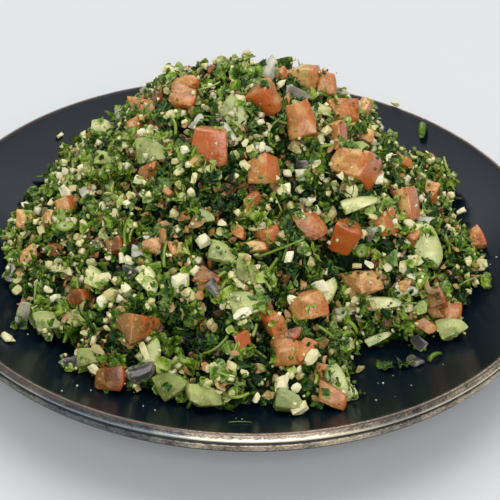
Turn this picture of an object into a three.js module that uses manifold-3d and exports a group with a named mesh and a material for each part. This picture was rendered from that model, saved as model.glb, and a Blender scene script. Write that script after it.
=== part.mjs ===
// Tabbouleh salad heaped on a round coupe plate. Millimetres, +Z up.
// The origin is the middle of the plate's foot, on the table. -Y faces the diner.
import * as THREE from "three";
import { ConvexGeometry } from "three/addons/geometries/ConvexGeometry.js";
import { mergeVertices } from "three/addons/utils/BufferGeometryUtils.js";
import Module from "manifold-3d";

const wasm = await Module();
wasm.setup();

// Plate
const PLATE_RADIUS = 110;
const PLATE_HEIGHT = 24;
const PLATE_SEGMENTS = 60;
const WELL_RADIUS = 56; // the flat floor under the salad
const WELL_FLOOR = 6; // its height above the table
const WALL_TOP_RADIUS = 106.6; // where the dished wall meets the lip
const WALL_TOP_HEIGHT = 23.2;
const WALL_CURVE = 1.8; // power of the wall's rise from the well to the lip
const WALL_STEPS = 5;
const LIP_WIDTH = 2.6;
const LIP_DEPTH = 1.6; // from the lip's top down to the groove below it
const GROOVE_DEPTH = 0.8;
const BAND_HEIGHT = 3.2; // the band that goes round the edge below the groove
const FOOT_RADIUS = 60;
const FOOT_WIDTH = 4;
const FOOT_HEIGHT = 2.2;
const UNDERSIDE_STEPS = 4;

// Salad
const GAP = 0.4; // left between the salad and the plate that carries it
const SALAD_RADIUS = 84;
const SALAD_HEIGHT = 68; // from the plate's floor to the top of the core
const PEAK_OFFSET = 11; // how far the peak lies behind the plate's middle
const HEAP_CURVE = 1.7;
const HEAP_SHOULDER = 0.9;
const EDGE_THICKNESS = 2.2; // the core's height at its outline
const CORE_RINGS = 13;
const CORE_ROUGHNESS = 1.3; // how far chopped herbs stand out of the core or sink into it
const KEEP_INSIDE_RADIUS = 103; // nothing in the heap reaches the lip

// Where spoonfuls slumped outwards or left a bay: bearing and width in degrees, anticlockwise from +X.
const LOBES = [
  { bearing: -116, width: 8, out: 7 },
  { bearing: -93, width: 10, out: 6 },
  { bearing: -73, width: 8, out: 9 },
  { bearing: -50, width: 12, out: -12 },
  { bearing: -34, width: 10, out: 4 },
  { bearing: -13, width: 9, out: 3 },
  { bearing: 26, width: 12, out: 4 },
  { bearing: 68, width: 14, out: 3 },
  { bearing: 112, width: 16, out: -4 },
  { bearing: 152, width: 13, out: 4 },
  { bearing: 180, width: 14, out: 2 },
];

// Ingredients. Room is the least distance, seen from above, to the pieces placed before.
const CHUNKS = 120;
const CHUNK_ROOM = 5;
const TOMATO_ACROSS = 13.5;
const CUCUMBER_ACROSS = 14;
const ONION_LENGTH = 13;
const ONION_THICKNESS = 1.7;
const LEAVES = 100;
const LEAF_ROOM = 5;
const LEAF_ACROSS = 14;
const LEAF_THICKNESS = 0.8;
const STEMS = 20;
const STEM_ROOM = 5;
const STEM_RADIUS = 0.95;
const RING_SLICE_RADIUS = 2.6;
const GRAINS = 132;
const GRAIN_ROOM = 4;
const GRAIN_LENGTH = 4.2;
const FUSE_TOLERANCE = 0.1; // edges shorter than this left by the joining are merged

const GOLDEN_ANGLE = Math.PI * (3 - Math.sqrt(5));

// A repeatable source of numbers between 0 and 1.
function seededRandom(seed) {
  let state = seed >>> 0;
  return () => {
    state = (state + 0x6d2b79f5) >>> 0;
    let t = state;
    t = Math.imul(t ^ (t >>> 15), t | 1);
    t ^= t + Math.imul(t ^ (t >>> 7), t | 61);
    return ((t ^ (t >>> 14)) >>> 0) / 4294967296;
  };
}

const random = seededRandom(20);
const taken = []; // places on the heap that hold a piece

function between(low, high) {
  return low + (high - low) * random();
}

// ---------------------------------------------------------------- solids

// A closed geometry as a solid with its faces pointing out.
function solidOf(geometry) {
  const bare = new THREE.BufferGeometry();
  bare.setAttribute("position", geometry.getAttribute("position"));
  bare.setIndex(geometry.index);
  const merged = mergeVertices(bare, 1e-4);
  const corners = [];
  for (let i = 0; i < merged.index.count; i += 3) {
    const [a, b, c] = [0, 1, 2].map((k) => merged.index.getX(i + k));
    if (a !== b && b !== c && c !== a) corners.push(a, b, c);
  }
  const build = (triVerts) =>
    new wasm.Manifold(
      new wasm.Mesh({
        numProp: 3,
        vertProperties: merged.getAttribute("position").array,
        triVerts: new Uint32Array(triVerts),
      }),
    );
  const solid = build(corners);
  return solid.volume() > 0 ? solid : build(corners.reverse());
}

function geometryOf(solid) {
  const mesh = solid.getMesh();
  const geometry = new THREE.BufferGeometry();
  geometry.setAttribute("position", new THREE.BufferAttribute(mesh.vertProperties, 3));
  geometry.setIndex(new THREE.BufferAttribute(mesh.triVerts, 1));
  geometry.computeVertexNormals();
  return geometry;
}

// One solid from many: loose scraps are dropped, and hollows that the joining seals are filled.
function fuse(solids) {
  const joined = wasm.Manifold.union(solids).simplify(FUSE_TOLERANCE);
  const bodies = joined.decompose();
  return bodies.reduce((best, body) => (body.volume() > best.volume() ? body : best));
}

// ---------------------------------------------------------------- plate

// Height of the eating surface at a distance from the middle: flat, then rising by a power of the distance.
function wallCurve(radius) {
  const share = Math.max(0, (radius - WELL_RADIUS) / (WALL_TOP_RADIUS - WELL_RADIUS));
  return WELL_FLOOR + (WALL_TOP_HEIGHT - WELL_FLOOR) * share ** WALL_CURVE;
}

function wallRadii() {
  return Array.from(
    { length: WALL_STEPS + 1 },
    (_, i) => WELL_RADIUS + ((WALL_TOP_RADIUS - WELL_RADIUS) * i) / WALL_STEPS,
  );
}

// Height of the faceted plate's eating surface, which runs straight from one profile point to the next.
function plateTop(radius) {
  const radii = wallRadii();
  if (radius <= radii[0]) return WELL_FLOOR;
  const step = Math.min(
    WALL_STEPS - 1,
    Math.floor(((radius - WELL_RADIUS) / (WALL_TOP_RADIUS - WELL_RADIUS)) * WALL_STEPS),
  );
  const share = (radius - radii[step]) / (radii[step + 1] - radii[step]);
  return THREE.MathUtils.lerp(wallCurve(radii[step]), wallCurve(radii[step + 1]), share);
}

function plateProfile() {
  const grooveTop = PLATE_HEIGHT - LIP_DEPTH;
  const bandTop = grooveTop - GROOVE_DEPTH;
  const bandBottom = bandTop - BAND_HEIGHT;
  const footOutside = [
    [FOOT_RADIUS, 0],
    [FOOT_RADIUS + 1.5, FOOT_HEIGHT],
  ];
  const underside = Array.from({ length: UNDERSIDE_STEPS }, (_, i) => {
    const share = (i + 1) / UNDERSIDE_STEPS;
    return [
      THREE.MathUtils.lerp(FOOT_RADIUS + 1.5, PLATE_RADIUS - 1.8, share),
      THREE.MathUtils.lerp(FOOT_HEIGHT, bandBottom - 0.6, share ** 1.5),
    ];
  });
  const edge = [
    [PLATE_RADIUS - 0.6, bandBottom],
    [PLATE_RADIUS, bandBottom + 1],
    [PLATE_RADIUS, bandTop - 0.6],
    [PLATE_RADIUS - 0.9, bandTop],
    [PLATE_RADIUS - 0.9, grooveTop],
    [PLATE_RADIUS - 0.4, grooveTop + 0.6],
    [PLATE_RADIUS - 0.8, PLATE_HEIGHT - 0.3],
    [PLATE_RADIUS - 1.6, PLATE_HEIGHT],
    [PLATE_RADIUS - LIP_WIDTH, PLATE_HEIGHT - 0.2],
  ];
  const wall = wallRadii()
    .reverse()
    .map((radius) => [radius, wallCurve(radius)]);
  return [
    [0, FOOT_HEIGHT],
    [FOOT_RADIUS - FOOT_WIDTH - 1.5, FOOT_HEIGHT],
    [FOOT_RADIUS - FOOT_WIDTH, 0],
    ...footOutside,
    ...underside,
    ...edge,
    ...wall,
    [0, WELL_FLOOR],
  ].map(([x, y]) => new THREE.Vector2(x, y));
}

function plateSolid() {
  const lathe = new THREE.LatheGeometry(plateProfile(), PLATE_SEGMENTS);
  return solidOf(lathe.rotateX(Math.PI / 2));
}

// ---------------------------------------------------------------- heap

// The heap's outline: a circle with a bell-shaped rise or dip at each lobe.
function heapEdge(angle) {
  const bearing = THREE.MathUtils.radToDeg(angle);
  return LOBES.reduce((edge, lobe) => {
    const away = THREE.MathUtils.euclideanModulo(bearing - lobe.bearing + 180, 360) - 180;
    return edge + lobe.out * Math.exp(-((away / lobe.width) ** 2));
  }, SALAD_RADIUS);
}

// Soft humps and dips where spoonfuls landed.
function humps(x, y) {
  const broad = 1.7 * Math.sin(x / 11 + 0.8) * Math.cos(y / 9);
  const narrow = 1.3 * Math.sin((x + y) / 7 + 2) * Math.cos((x - y) / 13);
  return broad + narrow;
}

// Height of the bare core at a place in the plan. Its distance from the peak, as a share of the way to the
// outline, is 0 at the top and 1 at the foot, and the heap falls off by a power of it.
function heapTop(x, y) {
  const radius = Math.hypot(x, y);
  const edge = heapEdge(Math.atan2(y, x));
  const outward = Math.min(1, radius / edge);
  const share = Math.min(1, Math.hypot(x, y - PEAK_OFFSET * (1 - outward ** 2)) / edge);
  const rise = (SALAD_HEIGHT - EDGE_THICKNESS) * (1 - share ** HEAP_CURVE) ** HEAP_SHOULDER;
  return plateTop(radius) + GAP + EDGE_THICKNESS + rise + humps(x, y) * Math.sqrt(1 - share);
}

function heapNormal(x, y) {
  const step = 1.5;
  const slopeX = (heapTop(x + step, y) - heapTop(x - step, y)) / (2 * step);
  const slopeY = (heapTop(x, y + step) - heapTop(x, y - step)) / (2 * step);
  return new THREE.Vector3(-slopeX, -slopeY, 1).normalize();
}

// The core. Its top is a disc of rings, ring k with 6k points, so that the triangles are about alike in size
// from the middle to the outline. Its underside follows the plate.
function coreSolid() {
  const positions = [];
  const triangles = [];
  const rimPoints = 6 * CORE_RINGS;
  const addRing = (points, share, height, roughness = 0) => {
    const first = positions.length / 3;
    for (let i = 0; i < points; i++) {
      const angle = (2 * Math.PI * i) / points;
      const radius = share * heapEdge(angle);
      const [x, y] = [radius * Math.cos(angle), radius * Math.sin(angle)];
      positions.push(x, y, height(x, y) + between(-roughness, roughness));
    }
    return { first, points };
  };
  const at = (ring, i) => ring.first + (ring.points ? i % ring.points : 0);
  // Sector by sector: each point of the outer ring makes a triangle with the inner ring's point beside it.
  const joinTop = (inner, outer, k) => {
    for (let sector = 0; sector < 6; sector++) {
      for (let i = 0; i < k; i++) {
        const [out, into] = [sector * k + i, sector * (k - 1) + i];
        triangles.push(at(inner, into), at(outer, out), at(outer, out + 1));
        if (i < k - 1) triangles.push(at(inner, into), at(outer, out + 1), at(inner, into + 1));
      }
    }
  };
  const joinBand = (inner, outer) => {
    for (let i = 0; i < rimPoints; i++) {
      triangles.push(at(inner, i), at(outer, i + 1), at(outer, i));
      triangles.push(at(inner, i), at(inner, i + 1), at(outer, i + 1));
    }
  };
  const top = [{ first: 0, points: 0 }];
  positions.push(0, 0, heapTop(0, 0));
  for (let k = 1; k <= CORE_RINGS; k++) {
    top.push(addRing(6 * k, k / CORE_RINGS, heapTop, k < CORE_RINGS ? CORE_ROUGHNESS : 0));
    joinTop(top[k - 1], top[k], k);
  }
  const bottom = (x, y) => plateTop(Math.hypot(x, y)) + GAP;
  const under = [0.64, 0.82, 1].map((share) => addRing(rimPoints, share, bottom));
  joinBand(under[0], under[1]);
  joinBand(under[1], under[2]);
  joinBand(under[2], top.at(-1));
  const middle = positions.length / 3;
  positions.push(0, 0, WELL_FLOOR + GAP);
  for (let i = 0; i < rimPoints; i++) triangles.push(middle, at(under[0], i + 1), at(under[0], i));
  const geometry = new THREE.BufferGeometry();
  geometry.setAttribute("position", new THREE.BufferAttribute(new Float32Array(positions), 3));
  geometry.setIndex(triangles);
  return solidOf(geometry);
}

// ---------------------------------------------------------------- ingredients, each about its own middle

// Tomato: a hand-cut block with no two faces parallel, and a bulging side where the skin is.
function tomatoGeometry(across) {
  const corner = () => (across / 2) * between(0.62, 0.95);
  const points = [];
  for (let i = 0; i < 8; i++) {
    const [x, y, z] = [i & 1, i & 2, i & 4].map((bit) => (bit ? corner() : -corner()));
    points.push(new THREE.Vector3(x, y, z * 0.85));
  }
  points.push(new THREE.Vector3((across / 2) * 1.05, between(-1, 1), between(-1, 1)));
  return new ConvexGeometry(points);
}

// Cucumber: a quarter of a thick slice, with the skin round its arc.
function cucumberGeometry(across) {
  const shape = new THREE.Shape();
  const arcSteps = 3;
  shape.moveTo(0, 0);
  for (let i = 0; i <= arcSteps; i++) {
    const angle = (Math.PI / 2) * (i / arcSteps);
    shape.lineTo(across * 0.78 * Math.cos(angle), across * 0.78 * Math.sin(angle));
  }
  const depth = across * between(0.4, 0.6);
  const slice = new THREE.ExtrudeGeometry(shape, { depth, bevelEnabled: false, steps: 1 });
  return slice.translate(-across * 0.36, -across * 0.36, -depth / 2);
}

// Onion: a short strip of one layer, curved along its length.
function onionGeometry(length) {
  const bends = 3;
  const strip = new THREE.BoxGeometry(length, length * between(0.45, 0.7), ONION_THICKNESS, bends, 1, 1);
  const position = strip.getAttribute("position");
  const sag = length * between(0.12, 0.22);
  for (let i = 0; i < position.count; i++) {
    const along = (2 * position.getX(i)) / length;
    position.setY(i, position.getY(i) * (1 - 0.35 * along ** 2));
    position.setZ(i, position.getZ(i) - sag * along ** 2);
  }
  return strip;
}

// Parsley: a thin leaf with pointed lobes, wavy, its two faces split into triangles alike.
function leafGeometry(across) {
  const rim = 2 * Math.floor(between(3, 5)); // a point and a notch for each lobe
  const positions = [];
  const outline = Array.from({ length: rim }, (_, i) => {
    const reach = (across / 2) * (i % 2 ? between(0.45, 0.62) : between(0.8, 1));
    const angle = (2 * Math.PI * (i + between(-0.2, 0.2))) / rim;
    return [reach * Math.cos(angle), reach * Math.sin(angle) * 0.8, across * between(-0.12, 0.12)];
  });
  const middle = [0, 0, across * 0.08];
  for (const side of [1, -1])
    for (const [x, y, z] of [middle, ...outline]) positions.push(x, y, z + (side * LEAF_THICKNESS) / 2);
  const under = rim + 1;
  const triangles = [];
  for (let i = 0; i < rim; i++) {
    const here = 1 + i;
    const next = 1 + ((i + 1) % rim);
    triangles.push(0, here, next, under, under + next, under + here);
    triangles.push(here, under + here, under + next, here, under + next, next);
  }
  const geometry = new THREE.BufferGeometry();
  geometry.setAttribute("position", new THREE.BufferAttribute(new Float32Array(positions), 3));
  geometry.setIndex(triangles);
  return geometry;
}

// Bulgur: a cracked, swollen wheat grain.
function grainGeometry(length) {
  const grain = new THREE.OctahedronGeometry(length / 2, 0);
  return grain.scale(1, between(0.75, 0.95), between(0.7, 0.85));
}

function stemGeometry(length) {
  return new THREE.CylinderGeometry(STEM_RADIUS, STEM_RADIUS * 0.8, length, 5);
}

// A slice of green stalk: a short tube.
function ringGeometry(radius) {
  const wall = radius * 0.45;
  const thickness = radius * 0.8;
  const section = [
    [radius, 0],
    [radius, thickness],
    [radius - wall, thickness],
    [radius - wall, 0],
    [radius, 0],
  ].map(([x, y]) => new THREE.Vector2(x, y - thickness / 2));
  return new THREE.LatheGeometry(section, 7);
}

// ---------------------------------------------------------------- placing

// Turns a piece so that its Z points along an axis leaning away from the surface's normal, spun at random.
function turned(normal, lean) {
  const axis = new THREE.Vector3(between(-1, 1), between(-1, 1), between(-1, 1)).cross(normal).normalize();
  const leaning = normal.clone().applyAxisAngle(axis, lean);
  const spin = new THREE.Quaternion().setFromAxisAngle(new THREE.Vector3(0, 0, 1), between(0, 2 * Math.PI));
  return new THREE.Quaternion().setFromUnitVectors(new THREE.Vector3(0, 0, 1), leaning).multiply(spin);
}

// The least height of a geometry above the faceted plate, and its farthest point from the middle.
function clearanceOf(geometry) {
  const position = geometry.getAttribute("position");
  const facetFactor = 1 / Math.cos(Math.PI / PLATE_SEGMENTS);
  let least = Infinity;
  let farthest = 0;
  for (let i = 0; i < position.count; i++) {
    const radius = Math.hypot(position.getX(i), position.getY(i));
    least = Math.min(least, position.getZ(i) - plateTop(radius * facetFactor));
    farthest = Math.max(farthest, radius);
  }
  return { least, farthest };
}

// Seats a piece on the heap, lifted clear of the plate, or returns null where it would need lifting too far.
function seated(geometry, x, y, proud, lean) {
  const normal = heapNormal(x, y);
  const place = new THREE.Vector3(x, y, heapTop(x, y)).addScaledVector(normal, proud);
  geometry.applyQuaternion(turned(normal, lean)).translate(place.x, place.y, place.z);
  const lift = Math.max(0, GAP - clearanceOf(geometry).least);
  geometry.translate(0, 0, lift);
  const tooHigh = lift > 4;
  return tooHigh || clearanceOf(geometry).farthest > KEEP_INSIDE_RADIUS ? null : solidOf(geometry);
}

// Places spread evenly over the heap, on a sunflower spiral that is loosened a little. Those nearer than room
// to a place that is already taken are left out, and the rest are taken.
function spread(count, turn, room) {
  const chosen = [];
  for (let i = 0; i < count; i++) {
    const angle = i * GOLDEN_ANGLE + turn;
    const distance = Math.sqrt((i + 0.5) / count) * heapEdge(angle);
    const x = distance * Math.cos(angle) + between(-1.5, 1.5);
    const y = distance * Math.sin(angle) + between(-1.5, 1.5);
    if (taken.every(([a, b]) => Math.hypot(x - a, y - b) >= room)) chosen.push([x, y]);
  }
  taken.push(...chosen);
  return chosen;
}

function chunkSolids() {
  const mix = ["tomato", "cucumber", "onion", "tomato", "onion", "tomato", "cucumber"];
  return spread(CHUNKS, 0.4, CHUNK_ROOM).map(([x, y], i) => {
    const size = between(0.6, 1);
    switch (mix[i % mix.length]) {
      case "tomato":
        return seated(tomatoGeometry(TOMATO_ACROSS * size), x, y, -1, between(0, 3));
      case "cucumber":
        return seated(cucumberGeometry(CUCUMBER_ACROSS * size), x, y, -0.5, between(0, 1.4));
      default:
        return seated(onionGeometry(ONION_LENGTH * size), x, y, 1.4, between(0.3, 1.3));
    }
  });
}

function leafSolids() {
  return spread(LEAVES, 1.1, LEAF_ROOM).map(([x, y]) =>
    seated(leafGeometry(LEAF_ACROSS * between(0.6, 1)), x, y, between(0.8, 2), between(0.15, 0.9)),
  );
}

function stemSolids() {
  return spread(STEMS, 3.1, STEM_ROOM).map(([x, y], i) => {
    const isRing = i % 3 === 0;
    const piece = isRing ? ringGeometry(RING_SLICE_RADIUS * between(0.8, 1)) : stemGeometry(between(7, 14));
    return seated(piece, x, y, isRing ? 1 : 0.6, isRing ? between(0.2, 1) : between(1.1, 1.5));
  });
}

function grainSolids() {
  return spread(GRAINS, 2.3, GRAIN_ROOM).map(([x, y]) =>
    seated(grainGeometry(GRAIN_LENGTH * between(0.75, 1)), x, y, between(0.8, 1.6), between(0, 3)),
  );
}

// ---------------------------------------------------------------- strays on the plate

// Scraps that fell beside the heap. bearing is in degrees from +X, anticlockwise seen from above.
const STRAYS = [
  { shape: () => ringGeometry(2.2), bearing: 44, radius: 101 },
  { shape: () => grainGeometry(4.4), bearing: 52, radius: 108.4, onLip: true },
  { shape: () => ringGeometry(2.6), bearing: -176, radius: 96 },
  { shape: () => onionGeometry(5), bearing: -137, radius: 97 },
  { shape: () => grainGeometry(2.6), bearing: -143, radius: 96 },
  { shape: () => stemGeometry(6).rotateX(Math.PI / 2), bearing: -45, radius: 91 },
  { shape: () => onionGeometry(9), bearing: -51, radius: 89 },
  { shape: () => leafGeometry(10), bearing: -57, radius: 86 },
  { shape: () => leafGeometry(4.5), bearing: -63, radius: 96 },
  { shape: () => stemGeometry(6).rotateX(Math.PI / 2), bearing: -90, radius: 101 },
  { shape: () => grainGeometry(3.4), bearing: 142, radius: 98 },
  { shape: () => grainGeometry(3), bearing: 100, radius: 98 },
];

function straySolid({ shape, bearing, radius, onLip }) {
  const angle = THREE.MathUtils.degToRad(bearing);
  const [x, y] = [radius * Math.cos(angle), radius * Math.sin(angle)];
  const surface = onLip ? PLATE_HEIGHT - 0.3 : plateTop(radius);
  const geometry = shape().rotateZ(angle);
  geometry.computeBoundingBox();
  const rest = surface - geometry.boundingBox.min.z - 0.5; // pressed a little into the glaze so that it holds
  return solidOf(geometry.translate(x, y, rest));
}

// ---------------------------------------------------------------- assembly

const plateMaterial = new THREE.MeshStandardMaterial({ color: 0x15191e, roughness: 0.28, metalness: 0 });
const saladMaterial = new THREE.MeshStandardMaterial({ color: 0x4a7426, roughness: 0.6, metalness: 0 });

const plate = new THREE.Mesh(geometryOf(fuse([plateSolid(), ...STRAYS.map(straySolid)])), plateMaterial);
plate.name = "plate";

const pieces = [...chunkSolids(), ...leafSolids(), ...stemSolids(), ...grainSolids()].filter(Boolean);
const salad = new THREE.Mesh(geometryOf(fuse([coreSolid(), ...pieces])), saladMaterial);
salad.name = "salad";

const tabbouleh = new THREE.Group();
tabbouleh.add(plate, salad);

export default tabbouleh;
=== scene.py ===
"""A heap of tabbouleh on its dark coupe plate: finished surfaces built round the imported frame.

Metres, +Z up, the origin in the middle of the plate's foot, -Y towards the diner.
"""

import math
from collections import namedtuple
from functools import lru_cache

import bpy
import numpy as np
from mathutils import Matrix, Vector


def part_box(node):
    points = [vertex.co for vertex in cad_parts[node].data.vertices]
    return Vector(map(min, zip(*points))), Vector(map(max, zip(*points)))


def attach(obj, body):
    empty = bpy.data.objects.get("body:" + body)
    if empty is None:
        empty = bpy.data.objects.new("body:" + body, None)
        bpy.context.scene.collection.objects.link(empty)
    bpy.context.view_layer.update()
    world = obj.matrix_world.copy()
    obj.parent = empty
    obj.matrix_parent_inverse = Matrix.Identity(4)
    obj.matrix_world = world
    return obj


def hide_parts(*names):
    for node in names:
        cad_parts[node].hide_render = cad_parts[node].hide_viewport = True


bl_info = {
    "name": "Tabbouleh on a plate",
    "version": (1, 0, 0),
    "blender": (4, 5, 0),
    "location": "3D View > Sidebar > Tabbouleh",
    "description": "Builds a heaped tabbouleh and its plate as meshes with procedural finishes",
    "category": "Add Mesh",
}

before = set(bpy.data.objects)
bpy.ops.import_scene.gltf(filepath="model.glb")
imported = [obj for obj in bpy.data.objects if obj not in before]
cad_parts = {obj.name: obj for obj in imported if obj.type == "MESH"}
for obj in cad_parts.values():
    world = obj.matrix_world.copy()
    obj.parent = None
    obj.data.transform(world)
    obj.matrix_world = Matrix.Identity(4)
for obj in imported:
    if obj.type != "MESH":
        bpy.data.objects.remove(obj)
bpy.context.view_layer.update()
MM = 0.001

# Seeds of the random draws.
SEEDS = {"relief": 5, "layout": 7, "core": 11, "tomato": 21, "cucumber": 22, "onion": 23, "bulgur": 24,
         "stalks": 25, "parsley": 26, "crumbs": 27, "mince": 28}

# ---------------------------------------------------------------- sizes, shared with the frame

PLATE_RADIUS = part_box("plate")[1][0]
WELL_RADIUS = 56 * MM
WELL_FLOOR = 6 * MM
WALL_TOP_RADIUS = PLATE_RADIUS - 2.4 * MM
WALL_TOP_HEIGHT = 24.3 * MM
WALL_CURVE = 1.8  # power of the wall's rise from the well to the lip
LIP_HEIGHT = 24.9 * MM
FOOT_HEIGHT = 2.2 * MM

GAP = 0.4 * MM  # left between the salad and the plate that carries it
CLEARANCE = 0.15 * MM  # least height of a loose thing over the plate
SALAD_RADIUS = 84 * MM
SALAD_HEIGHT = 68 * MM
PEAK_OFFSET = 11 * MM
HEAP_CURVE = 1.7
HEAP_SHOULDER = 0.9
EDGE_THICKNESS = 2.2 * MM
BROAD_HUMP = 1.7  # in millimetres
NARROW_HUMP = 1.3
OUTLINE_SLACK = 4 * MM  # how far outside the heap's outline a piece may still be seen to lie on it

BACK_START = 0.3  # how much the sine of the bearing is raised, so that the back begins in front of the sides
BACK_MARGIN = 3 * MM
BACK_SINK = 2 * MM
STEEPEST = 3.0  # true area over plan area on the heap's steepest slopes
SPARE_DRAWS = 6  # places drawn for each one that is wanted
# Painted shade: loose things lying deeper in the heap are given darker tones.
DEEP_SHADE = 0.08  # how much lighter loose things are for each millimetre further out

CLUMP_WAVES = 14 * MM, 7 * MM
FINE_CLUMPS = 0.7  # share of the shorter waves
PIT_WAVES = 9 * MM
PIT_LEVEL = 0.9  # what the random field of pits has to reach for one

# How many millimetres further out, and how much lighter, each kind of relief makes the loose things on it.
# The lighter tone on clumps is painted light and the darker tone in pits painted shade.
Relief = namedtuple("Relief", "out lighter")
CLUMP = Relief(1, 0.09)
PIT = Relief(-2.8, -0.35)
NAMED_CLUMP = Relief(1.4, 0.2)
NAMED_PIT = Relief(2.8, 0.42)

# Where spoonfuls slumped outwards or left a bay: bearing and width in degrees, anticlockwise from +X.
Lobe = namedtuple("Lobe", "bearing width out")
LOBES = (
    Lobe(-116, 8, 7 * MM),
    Lobe(-93, 10, 7 * MM),
    Lobe(-72, 8, 10 * MM),
    Lobe(-52, 13, -18 * MM),
    Lobe(-34, 10, 4 * MM),
    Lobe(-13, 9, 3 * MM),
    Lobe(27, 10, 9 * MM),
    Lobe(68, 14, 3 * MM),
    Lobe(112, 16, -4 * MM),
    Lobe(152, 13, 4 * MM),
    Lobe(180, 14, 2 * MM),
)

# Mounds, and hollows where the height is less than 0. The bearing is in degrees, as a lobe's is.
Mound = namedtuple("Mound", "bearing radius width height")
MOUNDS = (
    Mound(168, 76 * MM, 16 * MM, -6 * MM),
    Mound(147, 77 * MM, 12 * MM, 2.5 * MM),
    Mound(132, 60 * MM, 16 * MM, -3.5 * MM),
    Mound(30, 68 * MM, 13 * MM, -5 * MM),
    Mound(26, 87 * MM, 8 * MM, 4 * MM),
    Mound(-71, 85 * MM, 7 * MM, 2 * MM),
    Mound(137, 37 * MM, 12 * MM, 4 * MM),
    Mound(75, 18 * MM, 15 * MM, 2.5 * MM),
    Mound(45, 30 * MM, 12 * MM, 3 * MM),
)

# ---------------------------------------------------------------- camera

FOCAL_LENGTH = 72.0  # millimetres, on a sensor 36 mm wide
SENSOR_WIDTH = 36.0
IMAGE_SIDE = 500
IMAGE_MIDDLE = IMAGE_SIDE / 2
FOCAL_PIXELS = IMAGE_SIDE * FOCAL_LENGTH / SENSOR_WIDTH
CAMERA_PLACE = np.array((3.249, -301.149, 226.141)) * MM
CAMERA_ELEVATION = math.radians(35.815)
CAMERA_ROLL = math.radians(2.311)
SIGHT_REACH = np.linspace(0.2, 0.56, 1800)  # distances from the camera at which a line of sight is tried


def camera_axes():
    """The camera's right, up and backward directions: level axes at its elevation, then rolled."""
    sin_up, cos_up = math.sin(CAMERA_ELEVATION), math.cos(CAMERA_ELEVATION)
    right = np.array((1.0, 0.0, 0.0))
    up = np.array((0.0, sin_up, cos_up))
    back = np.array((0.0, -cos_up, sin_up))
    roll_sin, roll_cos = math.sin(CAMERA_ROLL), math.cos(CAMERA_ROLL)
    return roll_cos * right + roll_sin * up, roll_cos * up - roll_sin * right, back


def view_lines(across, down):
    """Directions from the camera through places in its view, in pixels from the top left corner."""
    right, up, back = camera_axes()
    sideways = (np.asarray(across, float) - IMAGE_MIDDLE)[:, None] / FOCAL_PIXELS
    upward = (IMAGE_MIDDLE - np.asarray(down, float))[:, None] / FOCAL_PIXELS
    return unit(sideways * right + upward * up - back)


def sight_points(across, down):
    """Points along the lines of sight through places in the camera's view, one row for each line."""
    return CAMERA_PLACE + SIGHT_REACH[None, :, None] * view_lines(across, down)[:, None, :]


# ---------------------------------------------------------------- plate and heap as surfaces


def draws(kind):
    """A source of random numbers for one kind of thing, the same in each run."""
    return np.random.default_rng(SEEDS[kind])


def unit(vectors):
    """Vectors along the last axis divided by their length."""
    return vectors / np.linalg.norm(vectors, axis=-1, keepdims=True)


def plate_height(radius):
    """The dish: flat in the well, then rising by a power of the way out to the lip."""
    way = np.clip((radius - WELL_RADIUS) / (WALL_TOP_RADIUS - WELL_RADIUS), 0, 1)
    return WELL_FLOOR + (WALL_TOP_HEIGHT - WELL_FLOOR) * way**WALL_CURVE


def heap_edge(angle):
    """Radius of the heap's outline: a circle plus a bell-shaped swelling for each lobe."""
    edge = np.full(np.shape(angle), SALAD_RADIUS)
    for lobe in LOBES:
        away = (np.degrees(angle) - lobe.bearing + 180) % 360 - 180
        edge = edge + lobe.out * np.exp(-((away / lobe.width) ** 2))
    return edge


def backness(angle):
    """1 behind the heap and 0 in front of it: the sine of the bearing, raised a little and cut off."""
    return np.clip(np.sin(angle) + BACK_START, 0, 1)


def mounds(x, y):
    """Height added by the mounds and hollows, each bell-shaped."""
    added = 0 * x
    for mound in MOUNDS:
        bearing = math.radians(mound.bearing)
        middle_x, middle_y = mound.radius * math.cos(bearing), mound.radius * math.sin(bearing)
        away = np.hypot(x - middle_x, y - middle_y) / mound.width
        added = added + mound.height * np.exp(-(away**2))
    return added


def humps(x, y):
    """Soft humps and dips where spoonfuls landed: two products of sine waves."""
    x, y = x / MM, y / MM
    broad = BROAD_HUMP * np.sin(x / 11 + 0.8) * np.cos(y / 9)
    narrow = NARROW_HUMP * np.sin((x + y) / 7 + 2) * np.cos((x - y) / 13)
    return (broad + narrow) * MM


def heap_top(x, y):
    """Height of the heap: it falls off by a power of the way from the peak to the outline."""
    radius = np.hypot(x, y)
    edge = heap_edge(np.arctan2(y, x))
    outward = np.minimum(1, radius / edge)
    share = np.minimum(1, np.hypot(x, y - PEAK_OFFSET * (1 - outward**2)) / edge)
    fall = (1 - share**HEAP_CURVE) ** HEAP_SHOULDER
    foot = plate_height(radius) + GAP + EDGE_THICKNESS
    height = (SALAD_HEIGHT - EDGE_THICKNESS) * fall + humps(x, y) * np.sqrt(1 - share) + mounds(x, y)
    return foot + np.maximum(-EDGE_THICKNESS, height)


def heap_normal(x, y):
    """The direction straight out of the heap, from its slopes over one millimetre."""
    slope_x = (heap_top(x + MM / 2, y) - heap_top(x - MM / 2, y)) / MM
    slope_y = (heap_top(x, y + MM / 2) - heap_top(x, y - MM / 2)) / MM
    return unit(np.stack([-slope_x, -slope_y, np.ones_like(slope_x)], axis=-1))


def skin_places(angle, share):
    """Places on the heap at a share of the way out, and its normals.

    The back is drawn in near the edge, by the margin times its backness and the sixth power of the share.
    """
    edge = heap_edge(angle)
    radius = share * edge
    x, y = radius * np.cos(angle), radius * np.sin(angle)
    drawn = radius - BACK_MARGIN * backness(angle) * share**6
    height = heap_top(x, y) + plate_height(drawn) - plate_height(radius)
    return np.stack([drawn * np.cos(angle), drawn * np.sin(angle), height], axis=-1), heap_normal(x, y)


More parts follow.
